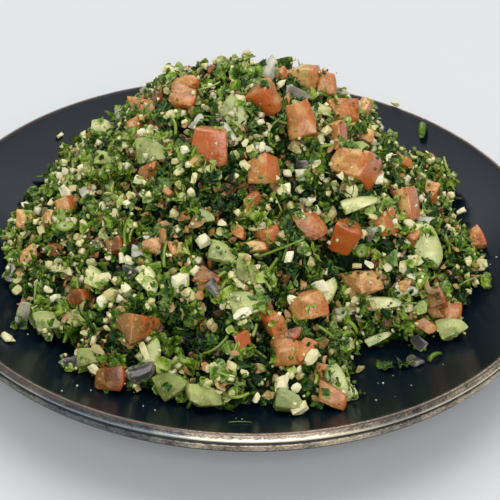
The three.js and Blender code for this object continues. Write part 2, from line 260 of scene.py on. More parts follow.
def seen_places(across, down, proud):
    """Where lines of sight first come within `proud` of the heap, inside its outline or just outside.

    A place on a line that misses the heap is set down on it where the line passes nearest over it.
    """
    points = sight_points(across, down)
    x, y = points[..., 0], points[..., 1]
    above = points[..., 2] - heap_top(x, y) - np.asarray(proud)[:, None]
    above += (np.hypot(x, y) > heap_edge(np.arctan2(y, x)) + OUTLINE_SLACK) * PLATE_RADIUS
    touched = above < 0
    first = np.where(touched.any(axis=1), touched.argmax(axis=1), above.argmin(axis=1))
    row = np.arange(len(first))
    places = points[row, first]
    places[:, 2] -= np.maximum(0, above[row, first])
    return places


def relief(places):
    """How far loose things stand out, in metres, and how much lighter they are: clumps less pits.

    Random fields of clumps and pits cover the heap, and each named clump adds a bell-shaped one to them.
    """
    # The lighter tone of clumps and the darker tone of pits are painted light and shade.
    rng = draws("relief")
    clumps = lumps(places, CLUMP_WAVES[0], rng) + FINE_CLUMPS * lumps(places, CLUMP_WAVES[1], rng)
    pits = np.maximum(0, lumps(places, PIT_WAVES, rng) - PIT_LEVEL)
    across, down, wide, strength = np.array(CLUMPS, float).T
    middle = seen_places(across, down, 0 * wide)
    away = np.linalg.norm(places[:, None] - middle, axis=2) / (wide * MM)
    named = np.exp(-(away**2)) @ np.stack([np.maximum(strength, 0), np.minimum(strength, 0)], axis=1)
    fields = clumps, pits, *named.T
    out, lighter = (sum(weight * field for weight, field in zip(weights, fields))
                    for weights in zip(CLUMP, PIT, NAMED_CLUMP, NAMED_PIT))
    return out * MM, lighter


def scattered_places(count, rng, low, high):
    """Places spread evenly over the heap's skin, from `low` to `high` out of it, its normals and their tone.

    A place is drawn evenly in plan and kept with a chance that grows with the slope's true area. What lies
    deeper is darker.
    """
    # The darker tone of what lies deeper is painted shade.
    drawn = SPARE_DRAWS * count
    angle = rng.uniform(-np.pi, np.pi, drawn)
    place, normal = skin_places(angle, np.sqrt(rng.random(drawn)))
    kept = np.flatnonzero(rng.random(drawn) * STEEPEST < 1 / normal[:, 2])[:count]
    place = place[kept]
    out, lighter = relief(place)
    depth = rng.uniform(low, high, len(kept))
    back = backness(np.arctan2(place[:, 1], place[:, 0]))
    place += (out + depth - BACK_SINK * back)[:, None] * normal[kept]
    return place, normal[kept], lighter + DEEP_SHADE * (depth / MM + 1)


def lumps(points, length, rng, waves=18):
    """A smooth random field about 0, of size about 1: sine waves of the given length in many directions."""
    way = unit(rng.normal(size=(waves, 3))) * (2 * np.pi / length) * rng.uniform(0.6, 1.4, (waves, 1))
    return np.sin(points @ way.T + rng.uniform(0, 2 * np.pi, waves)).sum(axis=1) * math.sqrt(2 / waves)


# ---------------------------------------------------------------- shapes

# `mark` is a number for each point that the finish reads, such as 1 on the skin and 0 on the flesh.
Shape = namedtuple("Shape", "points faces mark")

DENT_WAVES = 1.2  # length of the dents in cut flesh, in half widths of the piece
DENT_DEPTH = 0.035


def spokes(around):
    """Directions spread evenly round a circle, in radians."""
    return np.arange(around) * 2 * np.pi / around


def rising(value, start, width):
    """0 up to the start, 1 past the width beyond it and straight between."""
    return np.clip((value - start) / width, 0, 1)


def outward(points, faces):
    """The faces of a closed shape, turned over if they enclose a negative volume."""
    corner = points[faces]
    volume = np.einsum("ij,ij->", corner[:, 0], np.cross(corner[:, 1], corner[:, 2]))
    return faces if volume > 0 else faces[:, ::-1]


def ring_faces(rings, around):
    """Triangles that join each closed ring of points to the next."""
    here = np.arange((rings - 1) * around)
    beside = here + 1 - around * ((here + 1) % around == 0)
    return np.concatenate([
        np.stack([here, beside, beside + around], axis=1),
        np.stack([here, beside + around, here + around], axis=1),
    ])


def capped(points, rings, around, start, end):
    """A closed shape from rings of points and one more point at each end."""
    last = (rings - 1) * around
    here = np.arange(around)
    beside = (here + 1) % around
    first_cap = np.stack([np.full(around, len(points)), beside, here], axis=1)
    last_cap = np.stack([np.full(around, len(points) + 1), last + here, last + beside], axis=1)
    points = np.concatenate([points, [start, end]])
    return points, outward(points, np.concatenate([ring_faces(rings, around), first_cap, last_cap]))


def rounded(outline, times=2):
    """An open outline with its corners cut at a quarter and three quarters of each side, again and again."""
    for _ in range(times):
        start, end = outline[:-1], outline[1:]
        cut = np.stack([0.75 * start + 0.25 * end, 0.25 * start + 0.75 * end], axis=1)
        outline = np.concatenate([outline[:1], cut.reshape(-1, 2), outline[-1:]])
    return outline


def lathe(profile, around):
    """A profile of radius and height, from one end of the axis to the other, turned round the axis."""
    angle = spokes(around)
    radius, height = profile[1:-1, 0, None], profile[1:-1, 1, None]
    rings = np.stack(np.broadcast_arrays(radius * np.cos(angle), radius * np.sin(angle), height), axis=2)
    ends = [(0, 0, profile[0, 1]), (0, 0, profile[-1, 1])]
    return capped(rings.reshape(-1, 3), len(profile) - 2, around, *ends)


def lattice(marks):
    """The skin of a cube from -1 to 1 with grid lines at the marks, as welded points and triangles."""
    marks = np.asarray(marks, float)
    steps = len(marks) - 1
    u, v = np.meshgrid(marks, marks, indexing="ij")
    top = np.stack([u.ravel(), v.ravel(), np.ones(u.size)], axis=1)
    corner = (np.arange(steps)[:, None] * (steps + 1) + np.arange(steps)).ravel()
    across, along = corner + steps + 1, corner + 1
    halves = [np.stack([corner, across, across + 1], axis=1), np.stack([corner, across + 1, along], axis=1)]
    faces = np.concatenate(halves)
    sides = [(np.roll(top, turn, axis=1) * sign, faces[:, ::sign]) for turn in range(3) for sign in (1, -1)]
    points = np.concatenate([side for side, _ in sides])
    faces = np.concatenate([part + k * len(top) for k, (_, part) in enumerate(sides)])
    points, place = np.unique(np.round(points, 6), axis=0, return_inverse=True)
    return points, place.ravel()[faces]


def softened(points, squareness):
    """Cube points drawn in to a superellipsoid: the larger the power, the squarer it stays."""
    return points / (np.abs(points) ** squareness).sum(axis=1, keepdims=True) ** (1 / squareness)


def shaved(points, direction, depth):
    """Points beyond a plane pushed back on to it."""
    direction = np.asarray(direction, float) / np.linalg.norm(direction)
    beyond = np.maximum(0, points @ direction - depth)
    return points - beyond[:, None] * direction


def fitted(points):
    """Points moved and scaled so that they just fill the cube from -1 to 1."""
    low, high = points.min(axis=0), points.max(axis=0)
    return (points - (low + high) / 2) * 2 / (high - low)


def tomato_shape(rng):
    """A dice with one bulging side of skin, three random cuts, a taper, a skew and dents in its flesh."""
    cube, faces = lattice((-1, -0.93, -0.5, 0, 0.5, 0.93, 1))
    points = softened(cube, rng.uniform(9, 22))
    skin = rising(cube[:, 0], 0.8, 0.2)
    bulge, bulging_from = 0.15, 0.3
    points[:, 0] += bulge * (1 - points[:, 1] ** 2) * (points[:, 0] > bulging_from)
    for depth in rng.uniform(0.75, 1.25, 3):
        points = shaved(points, rng.normal(size=3) - (1, 0, 0), depth)
    taper, narrowing, skew = rng.uniform(-0.2, 0.2), rng.uniform(-0.25, 0.25), rng.uniform(-0.35, 0.35)
    points[:, :2] *= 1 + taper * points[:, 2:]
    points[:, 1] *= 1 + narrowing * points[:, 0]
    points[:, 0] += skew * points[:, 1]
    dents = lumps(points, DENT_WAVES, rng) * DENT_DEPTH * (1 - skin)
    return Shape(fitted(points * (1 + dents[:, None])), faces, skin)


def cucumber_shape(rng):
    """A quarter slice: a square drawn on to a quarter disc, with skin along the arc, cuts and dents."""
    cube, faces = lattice((-1, -0.9, -0.45, 0, 0.45, 0.9, 1))
    block = softened(cube, 14)
    a, b = (block[:, 0] + 1) / 2, (block[:, 1] + 1) / 2
    points = np.stack([a * np.sqrt(1 - b**2 / 2), b * np.sqrt(1 - a**2 / 2), block[:, 2] / 2], axis=1)
    skin = rising(np.hypot(points[:, 0], points[:, 1]), 0.86, 0.1)
    middle, taper = (0.45, 0.45, 0), rng.uniform(-0.25, 0.25)
    points = (points - middle) * 2
    points[:, 2] *= 1 + taper * points[:, 0]
    for depth in rng.uniform(0.8, 1.3, 2):
        points = shaved(points, rng.normal(size=3) * (1, 1, 0.3), depth)
    dents = lumps(points, DENT_WAVES, rng) * DENT_DEPTH
    return Shape(fitted(points * (1 + dents[:, None])), faces, skin)


def onion_shape(rng):
    """A shard of one layer: a thin rounded plate bent round a cylinder, cut askew and tapered."""
    cube, faces = lattice((-1, -0.85, -0.4, 0.4, 0.85, 1))
    points = softened(cube, rng.uniform(2.5, 6))
    points = shaved(points, rng.normal(size=3) * (1, 1, 0), rng.uniform(0.5, 1.0))
    bend, warp = rng.uniform(1.0, 3.0), rng.uniform(-1, 1)
    narrowing, sweep, arch = rng.uniform(-0.6, 0.1), rng.uniform(-0.5, 0.5), rng.uniform(0.9, 1.8)
    points[:, 2] += bend * (0.5 - points[:, 1] ** 2) + warp * points[:, 0] ** 2
    points[:, 1] *= 1 + narrowing * points[:, 0]
    points[:, 1] += sweep * points[:, 0] ** 2
    cut_edge = np.clip(np.abs(cube[:, :2]).max(axis=1) * 5 - 4, 0, 1)
    return Shape(fitted(points) * (1, 1, arch), faces, cut_edge)


def grain_shape(rng):
    """A cracked grain: a lumpy rounded cube, longer one way, cut by four random planes."""
    cube, faces = lattice((-1, 0, 1))
    points = softened(cube, 3.5)
    for depth in rng.uniform(0.45, 0.9, 4):
        points = shaved(points, rng.normal(size=3), depth)
    lumpiness = 0.1
    points = fitted(points * (1 + lumpiness * rng.normal(size=(len(points), 1))))
    width, thickness = rng.uniform(0.6, 0.95), rng.uniform(0.5, 0.8)
    return Shape(points * (1, width, thickness), faces, np.abs(cube[:, 0]))


def crumb_shape(rng):
    """A scrap with eight uneven corners."""
    cube, faces = lattice((-1, 1))
    reach, unevenness = 0.7, 0.22
    return Shape(cube * reach + rng.normal(scale=unevenness, size=cube.shape), faces, np.ones(len(cube)))


def flake(reach, front, back, rise, thickness):
    """A thin closed leaf whose front and back meet at its outline.

    The outline lies at the given reach in each direction and the rings of the front and of the back at
    shares of it. A point's height is rise(x, y, share), and the back lies the thickness below.
    """
    around = len(reach)
    angle = spokes(around)
    shares = np.concatenate([front, [1.0], back[::-1]])
    radius = shares[:, None] * reach
    x, y = (radius * np.cos(angle)).ravel(), (radius * np.sin(angle)).ravel()
    share = np.repeat(shares, around)
    below = np.repeat(np.arange(len(shares)) > len(front), around)
    sunk = thickness * below * (1 - share**4)
    points = np.stack([x, y, rise(x, y, share) - sunk], axis=1)
    middle = float(rise(np.zeros(1), np.zeros(1), np.zeros(1))[0])
    points, faces = capped(points, len(shares), around, (0, 0, middle), (0, 0, middle - thickness))
    return Shape(points, faces, np.concatenate([share, [0, 0]]))


def cut_straight(reach, way, depth):
    """A flat outline, given by its reach in each direction, cut along a line square to a direction."""
    return np.minimum(reach, depth / np.maximum(0.05, np.cos(spokes(len(reach)) - way)))


def chopped_outline(around, shallowest, rng):
    """A ragged disc with four straight cuts."""
    reach = rng.uniform(0.6, 1.1, around)
    for way, depth in zip(rng.uniform(0, 2 * np.pi, 4), rng.uniform(shallowest, 0.8, 4)):
        reach = cut_straight(reach, way, depth)
    return reach


LEAF_DISC = 0.4
LEAF_LOBES = (  # bearing and width in degrees, and length
    (0, 26, 0.6), (72, 22, 0.5), (-72, 22, 0.5), (128, 17, 0.26), (-128, 17, 0.26))
LEAF_TEETH = 0.1
LEAF_THICKNESS = 0.05


def leaf_shape(rng):
    """A lobed parsley leaf: bell-shaped lobes on a small disc, toothed, folded, curled and rippled."""
    around = 24
    angle, reach = spokes(around), np.full(around, LEAF_DISC)
    for bearing, width, length in LEAF_LOBES:
        away = (np.degrees(angle) - bearing - rng.uniform(-9, 9) + 180) % 360 - 180
        reach += length * rng.uniform(0.7, 1.1) * np.exp(-((away / width) ** 2))
    reach *= 1 + LEAF_TEETH * np.where(np.arange(around) % 2, 1, -1)
    fold, curl, ripple = rng.uniform(0.15, 0.8), rng.uniform(-0.6, 0.6), rng.uniform(0.1, 0.25)
    turn = rng.uniform(0, 2 * np.pi)

    def rise(x, y, share):
        wave = ripple * share**2 * np.sin(5 * np.arctan2(y, x) + turn)
        return fold * np.abs(y) + curl * x * x + wave + 0.3 * curl * x * y

    return flake(reach, [0.35, 0.7], [0.6], rise, LEAF_THICKNESS)


def ruffled_shape(rng):
    """A curly leaf end: an uneven oval, cut on one side, cupped, with two sets of waves in its rim."""
    around, oval = 20, 0.25
    angle = spokes(around)
    reach = rng.uniform(0.65, 1.0, around) * (1 + oval * np.cos(2 * angle + rng.uniform(0, 6)))
    depth, way = rng.uniform(0.3, 0.7), rng.uniform(0, 6)
    reach = cut_straight(reach, way, depth)
    cup, fold = rng.uniform(-0.3, 0.4), rng.uniform(-0.4, 0.5)
    broad, fine = rng.uniform(0.1, 0.3), rng.uniform(0.08, 0.16)
    waves, turn = int(rng.integers(2, 5)), rng.uniform(0, 6)

    def rise(x, y, share):
        bearing = np.arctan2(y, x)
        waving = broad * np.sin(waves * bearing + turn) + fine * np.sin(3 * waves * bearing)
        return cup * share**2 + fold * np.abs(y) + share**1.5 * waving

    return flake(reach, [0.5], [0.6], rise, LEAF_THICKNESS)


def chopped_shape(rng):
    """A chopped bit of leaf: a ragged disc with four straight cuts, folded, curled and crumpled."""
    reach = chopped_outline(12, 0.35, rng)
    fold, curl, crumple = rng.uniform(-0.8, 0.8), rng.uniform(-0.8, 0.8), 0.2
    ways, turns = rng.uniform(-5, 5, (2, 2)), rng.uniform(0, 6, 2)

    def rise(x, y, share):
        waves = sum(np.sin(way[0] * x + way[1] * y + turn) for way, turn in zip(ways, turns))
        return fold * np.abs(y) + curl * x * x + crumple * waves

    return flake(reach, [0.55], [], rise, 0.08)


def shard_shape(rng):
    """A chip of something chopped: a ragged disc with four straight cuts, bent, crumpled and domed."""
    reach = chopped_outline(10, 0.3, rng)
    bend, thickness = rng.uniform(-0.6, 0.6), rng.uniform(0.3, 0.9)
    way, turn, crumple, dome = rng.uniform(-4, 4, 2), rng.uniform(0, 6), 0.2, 0.2

    def rise(x, y, share):
        wave = np.sin(way[0] * x + way[1] * y + turn)
        return bend * x * x + crumple * wave + dome * thickness * (1 - share**2)

    return flake(reach, [0.75], [0.75], rise, thickness)


def stem_shape(rng):
    """A cut stem: a six-sided tube along a parabola, a little thinner towards one end."""
    along, angle = np.linspace(-1, 1, 7)[:, None], spokes(6)
    bend, lift, narrowing = rng.uniform(-2.5, 2.5), rng.uniform(0, 1.5), 0.15
    thick = 1 - narrowing * along
    aside = thick * np.cos(angle) + bend * along**2
    up = thick * np.sin(angle) - lift * along**2
    rings = np.stack(np.broadcast_arrays(along, aside, up), axis=2)
    ends = [(end, bend, -lift) for end in (-1, 1)]
    points, faces = capped(rings.reshape(-1, 3), len(along), len(angle), *ends)
    return Shape(points, faces, np.append(np.ones(len(points) - 2), [0, 0]))


def slice_shape(rng):
    """A slice of a green stalk: a rounded section carried round a slightly oval ring and closed on itself."""
    around, section, squarer = 16, 8, 0.6
    hole, half = rng.uniform(0.02, 0.2), rng.uniform(0.25, 0.5)
    turn, angle = spokes(section), spokes(around)[:, None]
    wall = (1 - hole) / 2
    aside, up = (np.abs(part) ** squarer * np.sign(part) for part in (np.cos(turn), np.sin(turn)))
    radius, height = 1 - wall + wall * aside, half * up
    oval = 1 + rng.uniform(0.05, 0.3) * np.cos(2 * angle)
    sides = radius * oval * np.cos(angle), radius * np.sin(angle), height
    points = np.stack(np.broadcast_arrays(*sides), axis=2).reshape(-1, 3)
    faces = ring_faces(around + 1, section) % (around * section)
    return Shape(points, outward(points, faces), np.tile((radius - hole) / (1 - hole), around))


VARIETY = {  # how many different shapes of each kind there are
    tomato_shape: 24, cucumber_shape: 18, onion_shape: 18, grain_shape: 20, crumb_shape: 16, leaf_shape: 16,
    ruffled_shape: 20, chopped_shape: 24, shard_shape: 20, stem_shape: 16, slice_shape: 8,
}


def variants(shape, rng):
    """Different shapes of one kind."""
    return [shape(rng) for _ in range(VARIETY[shape])]


# ---------------------------------------------------------------- pieces


def new_piece(name, points, faces, finish, slot, node, smooth=True, **marks):
    """A mesh object from arrays. Each mark is a number or a vector for every point, kept as an attribute."""
    mesh = bpy.data.meshes.new(name)
    mesh.vertices.add(len(points))
    mesh.vertices.foreach_set("co", points.astype(np.float32).ravel())
    mesh.loops.add(faces.size)
    mesh.loops.foreach_set("vertex_index", faces.astype(np.int32).ravel())
    mesh.polygons.add(len(faces))
    mesh.polygons.foreach_set("loop_start", np.arange(0, faces.size, 3, dtype=np.int32))
    mesh.polygons.foreach_set("use_smooth", np.full(len(faces), smooth))
    mesh.update(calc_edges=True)
    for mark, numbers in marks.items():
        kind, field = ("FLOAT", "value") if numbers.ndim == 1 else ("FLOAT_VECTOR", "vector")
        mesh.attributes.new(mark, kind, "POINT").data.foreach_set(field, numbers.astype(np.float32).ravel())
    mesh.materials.append(finish)
    piece = bpy.data.objects.new(name, mesh)
    bpy.context.collection.objects.link(piece)
    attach(piece, "root")
    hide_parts(node)
    return piece


def axes_facing(up, across):
    """Axes as columns: z along `up`, x the part of `across` that is square to it."""
    z = unit(up)
    x = unit(across - (across * z).sum(axis=1, keepdims=True) * z)
    return np.stack([x, np.cross(z, x), z], axis=2)


def tipped_axes(up, rng, tip):
    """Axes whose z is `up` tipped at random by about `tip`, and which are turned about it at random."""
    return axes_facing(unit(up) + tip * rng.normal(size=up.shape), rng.normal(size=up.shape))


class Batch:
    """Many copies of a few shapes: their middles, axes, half sizes and tones."""

    def __init__(self, places, axes, sizes, tones):
        self.places, self.axes, self.tones = places, axes, tones
        self.sizes = np.broadcast_to(sizes, places.shape)

    def only(self, kept):
        """The copies for which `kept` is true."""
        return Batch(self.places[kept], self.axes[kept], self.sizes[kept], self.tones[kept])

    def plus(self, other):
        """These copies and then the others."""
        both = zip(*((batch.places, batch.axes, batch.sizes, batch.tones) for batch in (self, other)))
        return Batch(*(np.concatenate(pair) for pair in both))

    def mesh(self, shapes):
        """One mesh of all the copies and its marks: place + axes · (size × point), lifted off the plate."""
        points, faces, marks, tones, own, total = [], [], [], [], [], 0
        for k, shape in enumerate(shapes):
            chosen = slice(k, None, len(shapes))
            moved = np.einsum("nij,npj->npi", self.axes[chosen], self.sizes[chosen, None] * shape.points)
            moved += self.places[chosen, None]
            sunk = plate_height(np.hypot(moved[..., 0], moved[..., 1])) + CLEARANCE - moved[..., 2]
            moved[..., 2] += np.maximum(0, sunk.max(axis=1))[:, None]
            copies = len(moved)
            firsts = total + np.arange(copies)[:, None, None] * len(shape.points)
            points.append(moved.reshape(-1, 3))
            faces.append((shape.faces + firsts).reshape(-1, 3))
            marks.append(np.tile(shape.mark, copies))
            tones.append(np.repeat(self.tones[chosen], len(shape.points)))
            own.append(np.tile(shape.points, (copies, 1)))
            total += copies * len(shape.points)
        kept = {"mark": marks, "tone": tones, "own": own}
        joined = {mark: np.concatenate(numbers) for mark, numbers in kept.items()}
        return np.concatenate(points), np.concatenate(faces), joined

    def piece(self, name, shapes, finish, smooth=True):
        """The copies as one finished piece of the salad."""
        points, faces, marks = self.mesh(shapes)
        return new_piece(name, points, faces, finish, "salad", "salad", smooth, **marks)


# ---------------------------------------------------------------- where the larger things lie

# A place in the camera's view, in pixels from its top left corner, with real sizes in millimetres, the turn
# of the long side in degrees anticlockwise and the tone, from 0, dark, to 1, pale. The tone is partly the
# piece's own colour and partly painted shade: the lowest and negative tones darken pieces lying in shadow.
# Where skin is 1, it faces the camera.
Spot = namedtuple("Spot", "across down long wide turn tone skin", defaults=(0,))


def spot_rows(*rows):
    """Spots from rows of their numbers."""
    return tuple(Spot(*row) for row in rows)


TOMATO_SPOTS = spot_rows(
    (210, 145, 13, 11.5, -6, 0.45, 1), (264, 100, 11.5, 11, 40, 0.45, 1), (184, 101, 11, 9, -30, 0.35),
    (186, 86, 11, 7.5, 25, 0.75), (144, 107, 12, 6.5, -5, 0.65), (136, 127, 6.5, 8, 10, 0.6),
    (303, 75, 13.5, 8.5, 5, 0.95), (324, 84, 10.5, 9.5, -15, 0.55), (343, 114, 13, 9, -35, 0.3),
    (300, 122, 10, 12, 15, 0.4), (336, 133, 6.5, 9, 0, 0.75), (353, 167, 16, 11.5, -18, 0.6),
    (400, 160, 9, 3.5, -20, 0.6), (364, 135, 7.5, 5, -20, 0.85), (364, 106, 5.5, 7, -15, 1),
    (264, 172, 9.5, 10, 8, 0.65), (252, 201, 9.5, 4, 68, 0.3), (150, 173, 7, 5.5, 0, 0.15),
    (23, 223, 7.5, 10, 10, 0.8), (49, 220, 5.5, 6.5, 0, 0.7), (29, 255, 7, 6, 20, 0.9),
    (79, 298, 8, 6.5, 10, -0.1), (138, 328, 13.5, 9.5, 2, 0), (266, 233, 9, 5, 15, 0.6),
    (116, 247, 6.5, 6, 20, -0.25), (152, 246, 7, 5, 10, 0.6), (177, 250, 6, 4.5, 0, 0.7),
    (254, 246, 9.5, 4.5, 5, 1), (305, 225, 11.5, 10.5, 20, 0.3), (281, 73, 5, 4, -20, 0.7),
    (344, 236, 9.5, 11, -25, 0.15, 1), (363, 283, 13, 9, 10, 0.7), (384, 223, 7, 9, 15, 0.6),
    (405, 204, 8, 11.5, 10, 0.75), (413, 238, 6, 5, 0, 0.45, 1), (429, 192, 8, 7.5, -30, 0.65),
    (475, 243, 6, 8.5, 15, 0.4), (308, 305, 11.5, 8.5, 15, 0.6), (449, 311, 8, 7.5, 0, 0.35),
    (436, 299, 6.5, 8.5, 20, -0.1), (425, 325, 9, 5, -35, 0.6), (404, 286, 7, 4.5, 5, 0.95),
    (273, 320, 11, 8, 25, 0.35, 1), (243, 344, 5, 8.5, 15, 0.3, 1), (287, 335, 9, 3.5, 10, 0.05),
    (287, 353, 9.5, 9, -10, 0.4), (209, 278, 8, 5.5, -25, -0.25), (111, 379, 10, 7.5, 5, -0.2),
    (212, 70, 3.5, 2.8, 20, 0.2), (305, 352, 5, 8, -35, 0.35), (332, 396, 10, 6, -25, 0.6),
    (55, 250, 6, 5, 0, -0.05), (238, 231, 6, 4, -30, 0.75), (67, 205, 8, 6, 10, 0.5), (153, 97, 6, 4, -20, 0),
    (173, 150, 4.5, 4.5, 0, 0.55),
)

CUCUMBER_SPOTS = spot_rows(
    (153, 150, 11, 9, 10, 0.2), (320, 109, 4, 8.5, 80, 0.6), (359, 202, 12, 5, 20, 0.7),
    (451, 330, 9.5, 7.5, 20, 0.35), (382, 302, 14, 4.5, 8, 0.8), (427, 244, 15, 12, -35, 0.6),
    (50, 320, 10, 7.5, 20, 0.2), (98, 278, 8, 6.5, -20, 0.75), (225, 253, 10.5, 6.5, -15, 0.3),
    (249, 272, 9, 8, 0, 0.1), (245, 302, 10, 9, 25, 0.35), (326, 294, 7, 10, -60, 0.85),
    (206, 395, 12, 7, 5, 0.35), (172, 382, 10, 9, 30, 0.1), (290, 404, 9, 6.5, -10, 0),
    (105, 127, 11, 7, 0, 0.95), (238, 112, 11, 8, -35, 0.3), (338, 380, 10, 7, -40, 0.4),
    (92, 356, 9.5, 6, 10, 0.2), (152, 355, 7, 9, -50, 0.35), (205, 215, 6, 5, 10, 0.1),
    (108, 158, 9, 5, -5, 0.45), (150, 281, 8, 6, -45, 0.85), (174, 71, 8, 4, -15, 0.85),
    (346, 388, 4.5, 9, 30, 0.7), (379, 337, 10, 3, 28, 0.55),
)

ONION_SPOTS = spot_rows(
    (269, 68, 9.5, 6.5, 62, 0.8), (228, 134, 9, 3.5, -55, 1), (298, 94, 9.5, 4.5, -10, 0.3),
    (307, 165, 7.5, 4.5, 0, 0.25), (217, 294, 9, 3.5, -55, 0.15), (343, 313, 8, 4, 15, 0.8),
    (416, 360, 4, 6, 40, -0.3), (23, 316, 9, 4.5, 75, 0.3), (11, 271, 7.5, 4.5, 75, 0.3),
    (69, 362, 5.5, 4.5, 0, -0.35), (141, 373, 9, 6, 20, -0.4), (406, 290, 8, 4.5, -10, 1),
    (425, 220, 6, 5.5, 0, 0.9), (96, 245, 4, 3, -30, 0.3), (371, 233, 5.5, 4, 50, 0.2),
    (262, 150, 6.5, 4.5, 20, 0.9), (340, 92, 6, 4, 0, 0.5), (110, 228, 5, 3, 35, 0.6),
    (141, 252, 6, 5, 0, 0.75), (129, 272, 5, 4.5, -30, -0.2), (147, 89, 5, 3.5, 45, 0.6),
    (197, 122, 6, 4, 60, 0.8), (88, 190, 6, 4, 30, 0.8), (122, 113, 5, 3.5, 20, 0.8),
)

GRAIN_SPOTS = (
    (176, 161), (179, 172), (194, 178), (191, 192), (139, 180), (142, 132), (156, 143), (268, 127),
    (245, 166), (287, 173), (282, 83), (262, 148), (281, 192), (379, 180), (356, 104), (109, 256), (121, 258),
    (129, 261), (49, 265), (17, 290), (115, 214), (103, 206), (48, 290), (55, 298), (128, 334), (93, 341),
    (94, 369), (222, 223), (196, 271), (289, 257), (290, 300), (373, 217), (380, 229), (363, 234), (355, 244),
    (369, 264), (357, 266), (349, 292), (355, 301), (388, 267), (293, 299), (461, 211), (481, 241),
    (468, 262), (409, 223), (451, 195), (296, 388), (287, 378), (214, 367), (232, 366), (219, 378),
    (257, 398), (66, 172), (60, 176), (73, 188), (52, 202), (269, 234),
)

LARGE_GRAIN_SPOTS = spot_rows(
    (181, 280, 6.2, 5.4, 10, 0.85), (203, 241, 4.6, 4.2, 30, 0.8), (320, 288, 5.6, 5, 20, 0.85),
    (315, 310, 4.6, 4.2, -10, 0.8), (299, 412, 5.6, 5.4, 30, 0.65), (242, 313, 6.6, 5, 30, 0.95),
    (145, 352, 6.8, 3, -60, 0.6), (281, 386, 4.4, 6, 20, 0.7), (312, 357, 5.8, 4.2, 60, 0.6),
    (104, 278, 5, 4, 15, 0.7), (98, 349, 5.4, 3.6, -20, 0.1), (378, 180, 4.4, 3.8, 0, 0.9),
)

STEM_SPOTS = spot_rows(
    (164, 254, 8, 1, 85, 0.7), (224, 284, 6, 1.1, 60, 0.8), (266, 282, 6, 1.3, -45, 0.9),
    (279, 249, 16, 0.7, 20, 0.6), (353, 325, 7, 1.4, -50, 0.95), (345, 334, 5.5, 1.1, 30, 0.85),
    (405, 303, 9, 0.8, 10, 0.6), (326, 331, 7, 1, -35, 0.6), (469, 280, 8, 0.8, 25, 0.6),
    (131, 232, 6, 0.8, 70, 0.7), (238, 397, 6.5, 1.1, 5, 0.9), (255, 330, 4, 1.1, 70, 0.95),
)

# Where the herbs lie proud with painted light, or sunk in a gap with painted shade: place, width in
# millimetres and strength.
Clump = namedtuple("Clump", "across down wide strength")
CLUMPS = tuple(Clump(*row) for row in (
    (165, 76, 6, 1.2), (176, 72, 6, 1.8), (240, 64, 6, 1.4), (252, 60, 6, 1.6), (318, 76, 5, 1.2),
    (218, 96, 5, 0.7), (190, 122, 5, 0.5), (163, 138, 7, 0.7), (152, 122, 4, 0.7), (235, 106, 6, 0.5),
    (308, 152, 5, 0.3), (345, 153, 4, 1.2), (330, 143, 3, 1.2), (286, 164, 5, 0.6), (50, 186, 6, 0.9),
    (32, 221, 4, 1.3), (8, 228, 5, 0.7), (6, 252, 5, 0.9), (90, 170, 6, 1), (75, 190, 7, 0.8),
    (175, 112, 5, 0.8), (262, 292, 6, 1.3), (110, 180, 5, 0.6), (125, 207, 7, 0.9), (103, 225, 8, 0.3),
    (132, 230, 5, 0.7), (190, 262, 7, 0.6), (72, 252, 6, 0.2), (75, 283, 4, 0.9), (136, 290, 6, 0.5),
    (160, 288, 6, 0.3), (200, 286, 7, 0.5), (250, 288, 7, 1.2), (265, 280, 5, 1.2), (232, 265, 6, -0.3),
    (90, 264, 4, 0.8), (168, 195, 6, 0.5), (150, 192, 6, 0.4), (215, 176, 6, 0.6), (208, 217, 6, 0.5),
    (45, 298, 7, 0.9), (176, 226, 7, 0.5), (258, 218, 4, 1.3), (363, 190, 6, 1.2), (332, 216, 5, 0.5),
    (418, 172, 4, 0.8), (449, 172, 6, 2.2), (420, 276, 4, 1), (337, 292, 5, 0.8), (385, 252, 6, 0.5),
    (442, 253, 5, 0.6), (470, 278, 5, 0.1), (410, 208, 5, 0.2), (300, 266, 5, 0.4), (75, 330, 5, 0.9),
    (82, 350, 6, 1), (96, 372, 4, 0.5), (115, 358, 5, 0.7), (120, 300, 6, 0.5), (108, 322, 5, 0.4),
    (177, 364, 7, 1.1), (180, 388, 6, 0.6), (210, 406, 5, 0.9), (240, 403, 4, 1), (230, 330, 5, 0.5),
    (230, 358, 5, 0.5), (240, 387, 5, 0.4), (190, 302, 5, 0.2), (148, 340, 5, 0.6), (402, 300, 5, 1.1),
    (350, 325, 4, 1.4), (328, 335, 5, 0.6), (322, 354, 4, 1), (318, 375, 6, 0.4), (340, 395, 5, 0.8),
    (410, 330, 5, 0.7), (456, 328, 5, 0.9), (205, 108, 5, -0.9), (178, 138, 4, -1.2), (285, 140, 5, -1.2),
    (245, 82, 4, -0.8), (290, 152, 5, -0.8), (265, 113, 3, -1), (165, 108, 4, -0.7), (50, 240, 6, -1.1),
    (212, 197, 7, -1.5), (165, 166, 5, -1), (130, 190, 4, -0.8), (162, 210, 5, -1.1), (115, 266, 5, -0.8),
    (60, 292, 4, -1), (211, 262, 5, -1.1), (100, 246, 4, -0.8), (242, 182, 5, -1.2), (100, 190, 4, -0.4),
    (318, 246, 7, -1.8), (345, 266, 6, -1.5), (283, 262, 5, -1), (380, 240, 5, -1), (330, 195, 5, -1),
    (290, 187, 6, -1), (350, 220, 4, -0.8), (445, 266, 7, -0.9), (462, 292, 5, -1), (170, 328, 5, -1.2),
    (105, 345, 7, -1.3), (138, 365, 6, -1.6), (196, 330, 5, -1), (90, 320, 4, -0.7), (215, 330, 5, -0.6),
    (276, 293, 4, -1.2), (375, 320, 8, -0.4), (315, 335, 7, -1.1), (265, 360, 7, -0.9), (318, 366, 4, -1.2),
    (390, 330, 6, -0.2), (425, 345, 5, -0.8),
))

